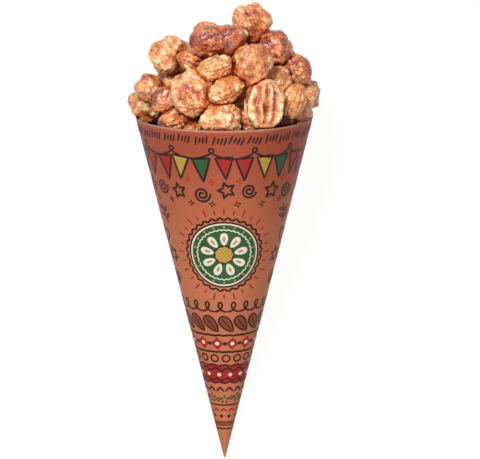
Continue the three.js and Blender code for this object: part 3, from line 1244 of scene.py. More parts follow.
    @staticmethod
    def diamond(wide: float, high: float) -> Stencil:
        """A filled diamond with slightly hollow sides.

        Args:
            wide: its width.
            high: its height.

        Returns:
            The shape.
        """
        outline = []
        for turn in turns_of(24):
            reach = 1.0 / (abs(math.cos(turn)) + abs(math.sin(turn))) ** 1.1
            outline.append((wide / 2 * reach * math.cos(turn), high / 2 * reach * math.sin(turn)))
        return Stencil().fill(outline, rings=4)

    @staticmethod
    def leaf_outline(wide: float, high: float) -> list[Point]:
        """A leaf's outline, point up.

        Args:
            wide: its width.
            high: its height.

        Returns:
            The outline's points.
        """
        return [
            (wide / 2 * math.sin(t) * (1 - 0.35 * math.cos(t)), -high / 2 * math.cos(t)) for t in turns_of(28)
        ]

    @staticmethod
    def leaf(wide: float, high: float) -> Stencil:
        """A filled leaf."""
        return Stencil().fill(Motif.leaf_outline(wide, high), rings=4)

    @staticmethod
    def leaf_lines(wide: float, high: float, line: float) -> Stencil:
        """The leaf's edge, and its middle vein.

        Args:
            wide: its width.
            high: its height.
            line: how wide its line is.

        Returns:
            The shape.
        """
        vein = curve(lambda t: (0.0, high * 0.36 * (2 * t - 1)), 6)
        edge = Stencil().stroke(Motif.leaf_outline(wide, high), line, True)
        return edge.stroke(vein, line * 0.8)

    @staticmethod
    def wave(wide: float, high: float, line: float, phase: float = 0.0) -> Stencil:
        """One whole wave of a wavy line.

        Args:
            wide: its length.
            high: its height.
            line: how wide its line is.
            phase: where on the wave it starts, as a share.

        Returns:
            The shape.
        """
        path = curve(
            lambda t: ((t - 0.5) * wide, high / 2 * math.sin(2 * math.pi * (t + phase))), 14
        )
        return Stencil().stroke(path, line)

    @staticmethod
    def loop(wide: float, radius: float, line: float) -> Stencil:
        """One loop of a looped line.

        Args:
            wide: its length.
            radius: the loop's radius.
            line: how wide its line is.

        Returns:
            The shape.
        """

        def shape(share: float) -> Point:
            turn = 2 * math.pi * share
            return ((share - 0.5) * wide + radius * 0.9 * math.sin(turn), -radius * math.cos(turn))

        return Stencil().stroke(curve(shape, 24), line)

    @staticmethod
    def spots(reach: float, radius: float, count: int) -> Stencil:
        """A ring of small filled spots.

        Args:
            reach: the ring's radius.
            radius: each spot's radius.
            count: how many.

        Returns:
            The shape.
        """
        drawing = Stencil()
        for turn in turns_of(count):
            middle = (reach * math.sin(turn), reach * math.cos(turn))
            drawing.fill(circle(radius, 10, middle), middle, 1)
        return drawing

    @staticmethod
    def ticks(count: int, gap: float, high: float, line: float, lean: float = 0.25) -> Stencil:
        """A few leaning strokes side by side.

        Args:
            count: how many.
            gap: the step from one to the next.
            high: its height.
            line: how wide its line is.
            lean: how far they lean, as a share of their height.

        Returns:
            The shape.
        """
        drawing = Stencil()
        for i in range(count):
            x = (i - (count - 1) / 2) * gap
            tall = high * (0.8 + 0.2 * math.cos(2.4 * i))
            drawing.stroke([(x - lean * tall * t, tall * (0.5 - t)) for t in (0.0, 0.33, 0.66, 1.0)], line)
        return drawing

    @staticmethod
    def cross(size: float, line: float) -> Stencil:
        """Four short strokes that point at each other.

        Args:
            size: its width.
            line: how wide its line is.

        Returns:
            The shape.
        """
        drawing = Stencil()
        for turn in turns_of(4):
            c, s = math.cos(turn), math.sin(turn)
            drawing.stroke([(c * r * size, s * r * size) for r in (0.14, 0.32, 0.5)], line)
        return drawing

    @staticmethod
    def chevron(wide: float, high: float, line: float) -> Stencil:
        """A pointed stroke."""
        shares = (-1, -0.66, -0.33, -0.08, 0.08, 0.33, 0.66, 1)
        return Stencil().stroke([(wide / 2 * t, high * (1 - abs(t)) - high / 2) for t in shares], line)


@dataclass(frozen=True)
class Row:
    """Copies of a motif along a circle round the cone.

    Attributes:
        ink: the colour it is printed in.
        motif: its shape.
        distance: how far up the sheet from the tip, in millimetres.
        first: where the first copy is, in degrees on the sheet from the front.
        step: degrees from each copy to the next.
        count: how many copies.
        turn: how far each copy is turned, in degrees.
        stray: how far a copy's size, turn and place may vary, as a share.
    """

    ink: Ink
    motif: Stencil
    distance: float
    first: float = 0.0
    step: float = 0.0
    count: int = 1
    turn: float = 0.0
    stray: float = 0.0


@dataclass(frozen=True)
class PrintedDesign:
    """The printed decoration: flags under the rim, flower rounds, line drawings and bands.

    Attributes:
        size: the cone's sizes.
        ripple: how far the card bends in and out, in metres.
        sunk: how far the ink's under side is below the card's face, in metres.
        line_parts: how many steps a line all round has.
    """

    size: ConeSize
    ripple: float
    sunk: float = 0.01 * MM
    line_parts: int = 260

    @property
    def left(self) -> float:
        """Where the print starts, beside the sheet's outer edge, in degrees on the sheet."""
        return self.size.spread(self.size.lap_edge) + 0.5

    @property
    def right(self) -> float:
        """Where the print ends, beside the lap, in degrees on the sheet."""
        return self.size.spread(self.size.lap_edge - 360.0) - 0.4

    def tree(self) -> RollTree:
        """Builds the tree that repeats a motif along a circle and rolls it on to the cone.

        Returns:
            The tree.
        """
        tree = RollTree(
            "printed row",
            {
                "Distance": 0.1,
                "First": 0.0,
                "Step": 0.0,
                "Count": 1,
                "Turn": 0.0,
                "Stray": 0.0,
                "Seed": 1,
                "Ink Height": 0.00005,
                "Ink": None,
            },
        )
        index = tree.value("GeometryNodeInputIndex")

        def chance(offset: int) -> Value:
            """A random number from -1 to 1 for each copy, with its own seed."""
            inputs = {2: -1.0, 3: 1.0, 7: index, 8: tree["Seed"] + offset}
            return tree.value("FunctionNodeRandomValue", {"data_type": "FLOAT"}, inputs, 1)

        angle = (tree["First"] + tree["Step"] * (index + chance(1) * tree["Stray"] * 0.3)) * DEGREE
        distance = tree["Distance"] + chance(2) * tree["Stray"] * 3.0 * MM
        spot = tree.combined(distance * angle.math("SINE", angle), distance * angle.math("COSINE", angle))
        places = tree.value("GeometryNodePoints", None, {"Count": tree["Count"], "Position": spot})
        lean = tree["Turn"] * DEGREE - angle + chance(3) * tree["Stray"] * 1.2
        copies = tree.value(
            "GeometryNodeInstanceOnPoints",
            None,
            {
                "Points": places,
                "Instance": tree["Geometry"],
                "Rotation": tree.combined(z=lean),
                "Scale": chance(4) * tree["Stray"] * 0.35 + 1.0,
            },
        )
        real = tree.value("GeometryNodeRealizeInstances", None, {"Geometry": copies})
        sunk = tree.moved(real, by=tree.combined(z=-self.sunk))
        top, under, _ = tree.thickened(sunk, tree["Ink Height"] + self.sunk)
        rolled = tree.rolled(tree.welded(top, under))
        tree.end(rolled, "Ink")
        return tree

    def around(
        self,
        motif: Stencil,
        ink: Ink,
        distance: float,
        count: int,
        shift: float = 0.5,
        **more: float,
    ) -> Row:
        """A row of evenly spaced copies all round the sheet.

        Args:
            motif: the shape.
            ink: its colour.
            distance: millimetres from the tip.
            count: how many copies.
            shift: where the first copy is, as a share of a step.
            more: the row's turn and stray.

        Returns:
            The row.
        """
        step = (self.right - self.left) / count
        return Row(ink, motif, distance, self.left + step * shift, step, count, **more)

    def circle_line(
        self,
        ink: Ink,
        distance: float,
        line: float,
        wobble: float = 0.0,
        scallops: int = 0,
        swing: float = 0.0,
        sway: float = 0.0,
    ) -> Row:
        """A line or band all round, drawn in sheet coordinates.

        Args:
            ink: its colour.
            distance: millimetres from the tip.
            line: its width.
            wobble: how far it strays in and out.
            scallops: how many lobes it has.
            swing: how far the lobes stand out at both edges.
            sway: how far the lobes carry the whole line up.

        Returns:
            The row.
        """
        edges: tuple[list[Point], list[Point]] = ([], [])
        for i in range(self.line_parts + 1):
            side = math.radians(self.left + (self.right - self.left) * i / self.line_parts)
            lobe = abs(math.cos(math.pi * scallops * i / self.line_parts))
            middle = distance + wobble * math.sin(i * 0.7) * math.sin(i * 0.19) + sway * lobe
            half = line / 2 + swing * lobe
            for edge, reach in zip(edges, (middle + half, middle - half)):
                edge.append((reach * math.sin(side), reach * math.cos(side)))
        return Row(ink, Stencil().strip(*edges), 0.0)

    def flags(self) -> list[Row]:
        """Flags that hang from a cord under the rim.

        Returns:
            The rows.
        """
        count, cord = 12, 173.0
        step = (self.right - self.left) / count
        wide = cord * math.radians(step)
        rows = [
            self.around(Motif.swag(wide * 0.98, 2.8, 1.0), Ink.BLACK, 174.4, count),
            self.around(Motif.ring(1.2, 1.0), Ink.BLACK, 176.2, count, 0.0),
        ]
        inks = (Ink.RED, Ink.OCHRE, Ink.RED, Ink.GREEN)
        for place, share in enumerate((0.28, 0.72)):
            for which in range(2):
                ink = inks[place * 2 + which]
                first = self.left + step * (share + which)
                copies = (count + 1 - which) // 2
                low = 172.2 - 0.5 * place
                shape = Motif.pennant(9.0, 12.0)
                rows.append(Row(ink, shape, low, first, step * 2, copies, stray=0.12))
                edge = Motif.pennant_edge(9.2, 12.3, 1.1)
                rows.append(Row(Ink.BLACK, edge, low, first, step * 2, copies, stray=0.12))
        return rows

    def flower_rounds(self) -> list[Row]:
        """A large round with a flower in it, at the front and at the back.

        Returns:
            The rows.
        """
        distance, back = 119.0, self.size.spread(0.0)
        layers = (
            (Ink.BLACK, Motif.ring(20.0, 1.0, 30, 0.6)),
            (Ink.GREEN, Motif.disc(17.4)),
            (Ink.CREAM, Motif.ring(17.1, 0.8)),
            (Ink.CREAM, Motif.ring(13.9, 0.6, 36, 0.35)),
            (Ink.CREAM, Motif.petals(5.2, 12.2, 9, 4.4)),
            (Ink.OCHRE, Motif.disc(4.4, 9, 0.25)),
            (Ink.BLACK, Motif.ring(18.0, 0.8)),
            (Ink.RED, Motif.rays(22.2, 26.4, 30, 1.0)),
            (Ink.BLACK, Motif.ring(4.9, 0.6, 9, 0.25)),
            (Ink.OCHRE, Motif.petals(6.8, 10.2, 9, 1.4)),
            (Ink.OCHRE, Motif.spots(15.6, 0.55, 18)),
        )
        return [Row(ink, shape, distance, 0.0, back, 2) for ink, shape in layers]

    def drawings(self) -> list[Row]:
        """Line drawings beside and under the rounds, and rows of strokes under the rim.

        Returns:
            The rows.
        """
        beside = ((15.6, 6.4, 2), (-15.6, -6.4, 3))
        rows = [
            self.around(Motif.ticks(4, 1.9, 4.6, 0.95), Ink.BLACK, 181.6, 30, stray=0.15),
            self.around(Motif.star(4.3, 5, 1.05), Ink.BLACK, 153.8, 9, 0.25, stray=0.35),
            self.around(Motif.swirl(4.2, 2.0, 1.05), Ink.BLACK, 153.2, 9, 0.75, stray=0.35),
            self.around(Motif.cross(3.4, 0.95), Ink.RED, 159.6, 18, 0.0, stray=0.3),
            self.around(Motif.cross(3.2, 0.9), Ink.BLACK, 147.0, 18, 0.0, stray=0.3),
        ]
        pictures = (
            (Motif.sprig(12.0, 1.0), 138.0, 8.0),
            (Motif.heart(8.6, 1.1), 126.4, -6.0),
            (Motif.star(4.7, 6, 1.0), 115.0, 0.0),
            (Motif.swirl(4.4, 2.2, 1.0), 103.4, 40.0),
        )
        for first, step, count in beside:
            for level, (shape, distance, turn) in enumerate(pictures):
                shift = step * 0.3 * (level % 2)
                rows.append(Row(Ink.BLACK, shape, distance, first + shift, step, count, turn, 0.3))
        return rows

    def bands(self) -> list[Row]:
        """Rings of plain shapes, from under the rounds down to the tip.

        Returns:
            The rows.
        """
        return [
            self.around(Motif.loop(6.6, 2.7, 1.0), Ink.BLACK, 89.4, 20),
            self.around(Motif.leaf(5.4, 10.2), Ink.BROWN, 79.6, 15, turn=38.0),
            self.around(Motif.leaf_lines(5.4, 10.2, 0.85), Ink.BLACK, 79.6, 15, turn=38.0),
            self.circle_line(Ink.BLACK, 73.2, 1.1, 0.25),
            self.around(Motif.diamond(7.0, 7.4), Ink.RED, 68.4, 13),
            self.around(Motif.disc(1.1), Ink.CREAM, 68.4, 13),
            self.around(Motif.disc(1.0), Ink.BLACK, 68.4, 13, 0.0),
            self.circle_line(Ink.BLACK, 63.6, 1.1, 0.2),
            self.around(Motif.ring(1.9, 0.9), Ink.BLACK, 59.8, 15),
            self.circle_line(Ink.RED, 50.8, 9.0, 0.0, 13, 0.9),
            self.circle_line(Ink.BLACK, 55.3, 0.8, 0.0, 13, 0.0, 0.9),
            self.circle_line(Ink.BLACK, 46.3, 0.8, 0.0, 13, 0.0, -0.9),
            self.around(Motif.wave(6.0, 1.8, 0.9), Ink.BLACK, 53.4, 13),
            self.around(Motif.disc(1.0), Ink.CREAM, 50.4, 13),
            self.around(Motif.wave(5.1, 1.5, 0.8), Ink.BLACK, 47.6, 13),
            self.around(Motif.chevron(4.0, 2.6, 0.95), Ink.BLACK, 41.8, 13),
            self.around(Motif.petals(0.6, 2.5, 5, 1.3), Ink.GREEN, 36.4, 8, stray=0.2),
            self.around(Motif.cross(2.4, 0.8), Ink.BLACK, 36.4, 8, 0.0, stray=0.2),
            self.circle_line(Ink.BLACK, 32.6, 0.8, 0.1),
            self.around(Motif.chevron(3.2, 2.0, 0.85), Ink.RED, 29.6, 11),
            self.around(Motif.disc(0.85), Ink.BLACK, 26.0, 10),
            self.circle_line(Ink.BROWN, 21.6, 3.0),
            self.circle_line(Ink.BLACK, 18.6, 0.7),
        ]

    def build(self) -> list[bpy.types.Object]:
        """Prints every row, and joins the rows of each ink into one piece.

        Returns:
            One piece for each ink.
        """
        tree = self.tree()
        inks = {ink: InkFinish(ink).material() for ink in Ink}
        made: dict[Ink, bmesh.types.BMesh] = {ink: bmesh.new() for ink in Ink}
        rows = [*self.flags(), *self.flower_rounds(), *self.drawings(), *self.bands()]
        for number, row in enumerate(rows):
            values = {
                **RollTree.sizes(self.size, self.ripple),
                "Distance": row.distance * MM,
                "First": float(row.first),
                "Step": float(row.step),
                "Count": row.count,
                "Turn": float(row.turn),
                "Stray": float(row.stray),
                "Seed": int(row.distance * 7),
                "Ink Height": row.ink.height + 0.001 * MM * (number % 5),
                "Ink": inks[row.ink],
            }
            printed = tree.shape(row.motif.mesh("motif"), f"row_{number}", values)
            made[row.ink].from_mesh(printed.data)
            bpy.data.objects.remove(printed)
        pieces = []
        for ink, work in made.items():
            mesh = bpy.data.meshes.new(f"print_{ink.name.lower()}")
            work.to_mesh(mesh)
            work.free()
            mesh.materials.append(inks[ink])
            piece = put_in_scene(mesh.name, mesh)
            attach(piece, ROOT)
            log.info("%s: %d faces", piece.name, len(mesh.polygons))
            pieces.append(piece)
        return pieces


# The nuts


@dataclass(frozen=True)
class CoatShape:
    """How a nut's sugar coat is built up, in metres.

    Attributes:
        swell: how far the coat lies over the nut.
        lump: the size of its lumps.
        lump_height: how far they stand out or in.
        knob: the size of the knobs on them.
        knob_height: how far the knobs stand out.
        grain: the mean radius of a loose sugar crystal.
        grains: crystals for each square metre.
        ribs: how many ribs run along the nut.
        rib_height: how far the ribs stand out and their grooves sink in.
        levels: how often the mesh is divided.
    """

    swell: float = 0.55 * MM
    lump: float = 6.5 * MM
    lump_height: float = 1.15 * MM
    knob: float = 2.6 * MM
    knob_height: float = 0.75 * MM
    grain: float = 0.3 * MM
    grains: float = 60000.0
    ribs: float = 0.0
    rib_height: float = 0.0
    levels: int = 2


class NutKind(Enum):
    """The kinds of nut, each with its coat's finish and how that coat is built up."""

    MACADAMIA = (CoatFinish(), CoatShape())
    HAZELNUT = (CoatFinish(amber=(0.68, 0.20, 0.05)), CoatShape(lump=5.5 * MM, lump_height=0.8 * MM))
    ALMOND = (
        CoatFinish(syrup=(0.46, 0.10, 0.022), amber=(0.70, 0.225, 0.048)),
        CoatShape(lump_height=0.6 * MM, ribs=13.0, rib_height=0.16 * MM),
    )
    PECAN = (
        CoatFinish(amber=(0.62, 0.165, 0.042)),
        CoatShape(lump_height=0.35 * MM, knob_height=0.4 * MM, ribs=9.0, rib_height=0.85 * MM),
    )
    CASHEW = (CoatFinish(amber=(0.58, 0.14, 0.034)), CoatShape(lump_height=0.8 * MM))
    CLUMP = (
        CoatFinish(amber=(0.48, 0.12, 0.03)),
        CoatShape(3.3 * MM, 11.0 * MM, 2.6 * MM, 5.5 * MM, 1.8 * MM, grains=30000.0, levels=3),
    )

    @property
    def slot(self) -> str:
        """The name of this kind's coat, which its material's name is made from."""
        return f"{self.name.lower()}_coat"

    @classmethod
    def of(cls, node: str) -> NutKind:
        """The kind that a node's name starts with."""
        return next(kind for kind in cls if node.upper().startswith(kind.name))


@dataclass
class NutHeap:
    """All the nuts, each with its own sugar coat over its CAD shape.

    Attributes:
        size: the cone's sizes, which the coats stay inside.
        rough_back: how much higher the lumps are on the heap's hidden side.
        thin_fill: how much of its swell a clump down in the bag has.
        back_tone: the tone of the nuts and clumps that can't be seen from above; below 0 it is darker.
        cleft_shade_reach: how near another nut or the card the painted shade in the clefts reaches, in
            metres.
        cleft_shade_depth: how much lower the crust is where they touch, which paints shade there.
    """

    size: ConeSize
    rough_back: float = 1.5
    thin_fill: float = 0.35
    back_tone: float = -0.02
    cleft_shade_reach: float = 2.6 * MM
    cleft_shade_depth: float = 0.62

    def __post_init__(self) -> None:
        """Makes the finishes, sets each front nut's tone and measures the CAD nodes."""
        self.coats = {kind: kind.value[0].material(kind.slot.replace("_", " ")) for kind in NutKind}
        # Each front nut's tone, by its number; one that isn't named has the tone 0.
        pale = {"06": 0.14, "10": 0.1, "11": 0.1, "12": 0.12, "13": 0.04, "15": 0.1, "16": 0.12, "21": 0.2}
        deep = {"02": -0.12, "05": -0.08, "07": -0.16, "09": -0.08, "19": -0.12, "20": -0.1, "23": -0.16}
        self.tones = {**pale, **deep, "01": 0.08, "08": 0.04, "14": 0.1, "17": 0.04, "18": 0.06}
        self.boxes = {node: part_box(node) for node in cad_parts}

    def tree(self) -> ShapeTree:
        """Builds the tree that swells a nut into its coat and sprinkles crystals on it.

        Returns:
            The tree.
        """
        tree = ShapeTree("sugar coat", self.inputs(CoatShape()))
        merged = tree.welded(tree["Geometry"])
        smooth = tree.value(
            "GeometryNodeSubdivisionSurface", None, {"Mesh": merged, "Level": tree["Levels"]}
        )
        place = tree.value("GeometryNodeInputPosition")
        away = tree.combined(tree["Seed"] * 0.37, tree["Seed"] * 0.11)
        spot = tree.vector("ADD", place, away)
        lumps = tree.value(
            "ShaderNodeTexNoise",
            None,
            {"Vector": spot, "Scale": 1.0 / tree["Lump Size"], "Detail": 1.0},
        )
        cells = tree.value(
            "ShaderNodeTexVoronoi",
            {"feature": "SMOOTH_F1"},
            {"Vector": spot, "Scale": 1.0 / tree["Knob Size"], "Smoothness": 0.35},
        )
        fine_size, cluster_size = 1.1 * MM, 7.0 * MM
        fine = tree.noise(spot, fine_size, 2.0, 0.6)
        knobs = cells.ramp(0.75, 0.1)
        clusters = tree.noise(spot, cluster_size, 1.0).ramp(0.36, 0.62)
        ribs = self.ribbed(tree, lumps)
        raised = (
            (lumps - 0.5) * 2.2 * tree["Lump Height"]
            + (knobs * (0.35 + clusters * 0.65) - 0.35) * tree["Knob Height"]
            + (fine - 0.5) * 0.42 * MM
            + ribs * tree["Rib Height"]
        )
        step = tree.vector("SCALE", tree.value("GeometryNodeInputNormal"), raised + tree["Swell"])
        streaks = ribs * (tree["Rib Height"] / (0.6 * MM)).least(1.0) * 0.26
        # The crust height follows the lumps and ribs, so the coat's colour puts painted shade in their
        # hollows and a painted highlight on their crests.
        crust = 0.5 + (lumps - 0.5) * 0.95 + (knobs * clusters - 0.3) * 0.22 + (fine - 0.5) * 0.6 + streaks
        coloured = tree.stored(smooth, {"crust": crust, "tone": tree["Tone"]})
        swollen = tree.moved(coloured, by=step)
        held = self.held_inside(tree, swollen)
        grains = self.crystals(tree, held, clusters)
        tree.end(tree.joined(grains, tree.shaded(held, True)), "Coat")
        return tree

    def inputs(
        self,
        shape: CoatShape,
        middle: Sequence[float] = (0.0, 0.0, 0.0),
        axis: Sequence[float] = (0.0, 1.0, 0.0),
        seed: int = 0,
        tone: float = 0.0,
        coat: bpy.types.Material | None = None,
    ) -> dict[str, object]:
        """The values of the tree's inputs.

        Args:
            shape: how the coat is built up.
            middle: the middle of the nut.
            axis: the direction in which it is longest.
            seed: sets what is random.
            tone: how much paler the coat is than its finish.
            coat: the finish's material.

        Returns:
            A value for each input, by its name.
        """
        return {
            "Levels": shape.levels,
            "Swell": shape.swell,
            "Lump Size": shape.lump,
            "Lump Height": shape.lump_height,
            "Knob Size": shape.knob,
            "Knob Height": shape.knob_height,
            "Grain Radius": shape.grain,
            "Grain Density": shape.grains,
            "Ribs": shape.ribs,
            "Rib Height": shape.rib_height,
            "Middle": tuple(middle),
            "Long Axis": tuple(axis),
            "Seed": seed,
            "Tone": tone,
            "Tilt": self.size.flat_tilt,
            "Slant": self.size.slant,
            "Rim Radius": self.size.rim_radius,
            "Card Thickness": self.size.card,
            "Coat": coat,
        }

    @staticmethod
    def ribbed(tree: ShapeTree, bend: Value) -> Value:
        """Gives ribs along the nut, from -1 in the grooves to 1 on the crests.

        Args:
            tree: the tree, whose inputs give the nut's middle and its long axis.
            bend: noise that bends the ribs a little.

        Returns:
            The ribs' height, which fades out at the nut's ends.
        """
        place = tree.vector("SUBTRACT", tree.value("GeometryNodeInputPosition"), tree["Middle"])
        side = tree.vector("NORMALIZE", tree.vector("CROSS_PRODUCT", tree["Long Axis"], (0.17, 0.05, 0.98)))
        face = tree.vector("CROSS_PRODUCT", tree["Long Axis"], side)
        across = tree.vector("DOT_PRODUCT", place, side, output=1)
        out = tree.vector("DOT_PRODUCT", place, face, output=1)
        along = tree.vector("DOT_PRODUCT", place, tree["Long Axis"], output=1)
        phase = (across.math("ARCTAN2", across, out) + (bend - 0.5) * 0.5) * tree["Ribs"]
        ends = along.math("ABSOLUTE", along).ramp(11.5 * MM, 6.0 * MM)
        return phase.math("COSINE", phase) * ends

    @staticmethod
    def in_bag(tree: ShapeTree) -> tuple[Value, Value, Value]:
        """Finds a point in the bag's own frame.

        Args:
            tree: the tree, whose inputs give how the bag lies.

        Returns:
            The point's distance from the bag's axis, its height up that axis, and its direction from it.
        """
        place = tree.value("GeometryNodeInputPosition")
        forward = tree.combined(y=tree["Slant"] * 0.5)
        upright = tree.tipped(tree.vector("ADD", place, forward), math.pi / 2 - tree["Tilt"])
        x, y, z = tree.parts(upright)
        return (x * x + y * y) ** 0.5, z, tree.vector("NORMALIZE", tree.combined(x, y))

    def held_inside(self, tree: ShapeTree, geometry: Value) -> Value:
        """Draws back every point that would come through the card or the ground.

        Args:
            tree: the tree, whose inputs give how the bag lies.
            geometry: the coat.

        Returns:
            The coat, clear of the card and the ground.
        """
        radius, height, across = self.in_bag(tree)
        sine = tree["Rim Radius"] / tree["Slant"]
        cosine = (1.0 - sine * sine) ** 0.5
        rim = tree["Slant"] * cosine
        depth = radius * cosine - height * sine
        clear, above_ground = 0.06 * MM, 0.1 * MM
        below = height.ramp(rim + 0.9 * MM, rim + 0.4 * MM)
        over = (depth + tree["Card Thickness"] + clear).most(0.0) * below
        outward = tree.tipped(across, tree["Tilt"] - math.pi / 2)
        drawn = tree.moved(geometry, by=tree.vector("SCALE", outward, over / cosine * -1.0))
        x, y, z = tree.parts(tree.value("GeometryNodeInputPosition"))
        ground = above_ground + below * (tree["Card Thickness"] - 0.02 * MM)
        return tree.moved(drawn, tree.combined(x, y, z.most(ground)))

    def crystals(self, tree: ShapeTree, geometry: Value, clusters: Value) -> Value:
        """Sprinkles sugar crystals, thicker where the coat is knobbly.

        Args:
            tree: the tree, whose inputs give the crystals' size and density.
            geometry: the coat that they lie on.
            clusters: how knobbly it is, from 0 to 1.

        Returns:
            The crystals.
        """
        _, height, _ = self.in_bag(tree)
        sine = tree["Rim Radius"] / tree["Slant"]
        rim = tree["Slant"] * (1.0 - sine * sine) ** 0.5
        shows = height.ramp(rim - 14.0 * MM, rim - 8.0 * MM)
        strewn = tree.node(
            "GeometryNodeDistributePointsOnFaces",
            {"distribute_method": "POISSON"},
            {
                "Mesh": geometry,
                "Distance Min": tree["Grain Radius"] * 2.0,
                "Density Max": tree["Grain Density"],
                "Density Factor": shows * (0.12 + clusters * 0.88),
                "Seed": tree["Seed"],
            },
        )
        ball = tree.node("GeometryNodeMeshIcoSphere", None, {"Radius": 1.0, "Subdivisions": 1})
        faceted = tree.shaded(Value(tree, ball.outputs[0]), False)
        bright = 0.84
        pale = tree.stored(faceted, {"crust": bright, "tone": tree["Tone"]})
        size = tree.value(
            "FunctionNodeRandomValue",
            {"data_type": "FLOAT"},
            {2: 0.55, 3: 1.35, 8: tree["Seed"]},
            1,
        )
        return tree.value(
            "GeometryNodeInstanceOnPoints",
            None,
            {
                "Points": strewn.outputs["Points"],
                "Instance": pale,
                "Rotation": strewn.outputs["Rotation"],
                "Scale": size * tree["Grain Radius"],
            },
        )

    def neighbours(self, node: str) -> BVHTree:
        """The faces of the card and of every nut near this one, for finding what it touches.

        Args:
            node: the nut's CAD node.

        Returns:
            The tree of their faces.
        """
        low, high = self.boxes[node]
        spare = 3 * MM
        near = []
        for name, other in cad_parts.items():
            start, end = self.boxes[name]
            meets = all(start[i] < high[i] + spare and end[i] > low[i] - spare for i in range(3))
            if meets and name != node:
                near.append(other.data)
        return faces_of(near)

    def paint_cleft_shade(self, mesh: bpy.types.Mesh, others: BVHTree) -> None:
        """Paints shade into the coat in the clefts between a nut and what it touches.

        Args:
            mesh: the coat, whose crust height is lowered there.
            others: what stands round it.
        """
        crust = mesh.attributes["crust"].data
        heights = np.empty(len(mesh.vertices), np.float32)
        crust.foreach_get("value", heights)
        for corner in mesh.vertices:
            gap = others.find_nearest(corner.co, self.cleft_shade_reach)[3]
            if gap is not None:
                # Painted shade: the crust, and with it the colour, is lowered near what the nut touches.
                heights[corner.index] -= self.cleft_shade_depth * (1.0 - gap / self.cleft_shade_reach) ** 1.5
        crust.foreach_set("value", heights)

    @staticmethod
    def long_axis(mesh: bpy.types.Mesh) -> tuple[Vector, Vector]:
        """The middle of a nut and the direction in which it is longest.

        Args:
            mesh: the nut's CAD mesh.

        Returns:
            The middle, and the direction as a unit vector.
        """
        points = np.array([corner.co for corner in mesh.vertices])
        middle = points.mean(axis=0)
        _, axes = np.linalg.eigh(np.cov((points - middle).T))
        return Vector(middle), Vector(axes[:, 2])

    def build(self) -> list[bpy.types.Object]:
        """Coats every nut and clump.

        Returns:
            The coated nuts, in the order of their names.
        """
        tree = self.tree()
        nodes = enumerate(sorted(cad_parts))
        return [self.coated(tree, node, number) for number, node in nodes if node != "paper_cone"]

    def coated(self, tree: ShapeTree, node: str, number: int) -> bpy.types.Object:
        """Makes one nut's coat in place of its CAD node.

        Args:
            tree: the coat's tree.
            node: the CAD node's name.
            number: sets what is random.

        Returns:
            The coated nut.
        """
        kind, source = NutKind.of(node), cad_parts[node]
        plain: CoatShape = kind.value[1]
        front, hidden = "front" in node, "fill" in node
        rougher = self.rough_back if "back" in node else 1.0
        shape = replace(
            plain,
            levels=plain.levels + int(front) - int(hidden),
            swell=plain.swell * (self.thin_fill if hidden else 1.0),
            lump_height=plain.lump_height * rougher,
            knob_height=plain.knob_height * rougher,
        )
        middle, axis = self.long_axis(source.data)
        tone = self.tones.get(node.split("_")[-1], 0.0) if front else self.back_tone
        values = self.inputs(shape, middle, axis, number, tone, self.coats[kind])
        coated = tree.shape(source.data.copy(), f"{node}_coated", values)
        # Painted shade in the clefts against the nut's neighbours.
        self.paint_cleft_shade(coated.data, self.neighbours(node))
        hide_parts(node)
        kind.slot
        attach(coated, ROOT)
        log.info("%s: %d faces", coated.name, len(coated.data.polygons))
        return coated


class Line(Enum):
    """The ways in which a line goes to the heap."""

    FROM_ABOVE = (0.0, 0.0, -1.0)
    FROM_MOUTH = (0.0, -1.0, 0.0)
    FROM_LEFT = (1.0, -0.25, -0.2)
    FROM_RIGHT = (-1.0, -0.25, -0.2)


@dataclass(frozen=True)
class Sliver:
    """One sliver of blanched almond, found by a line to the heap.

    Attributes:
        start: where the line starts, in millimetres.
        aim: which way it goes.
        turn: how far the sliver is turned on the coat, in degrees.
        length: its length, in millimetres.
    """

    start: tuple[float, float, float]
    aim: Line
    turn: float
    length: float


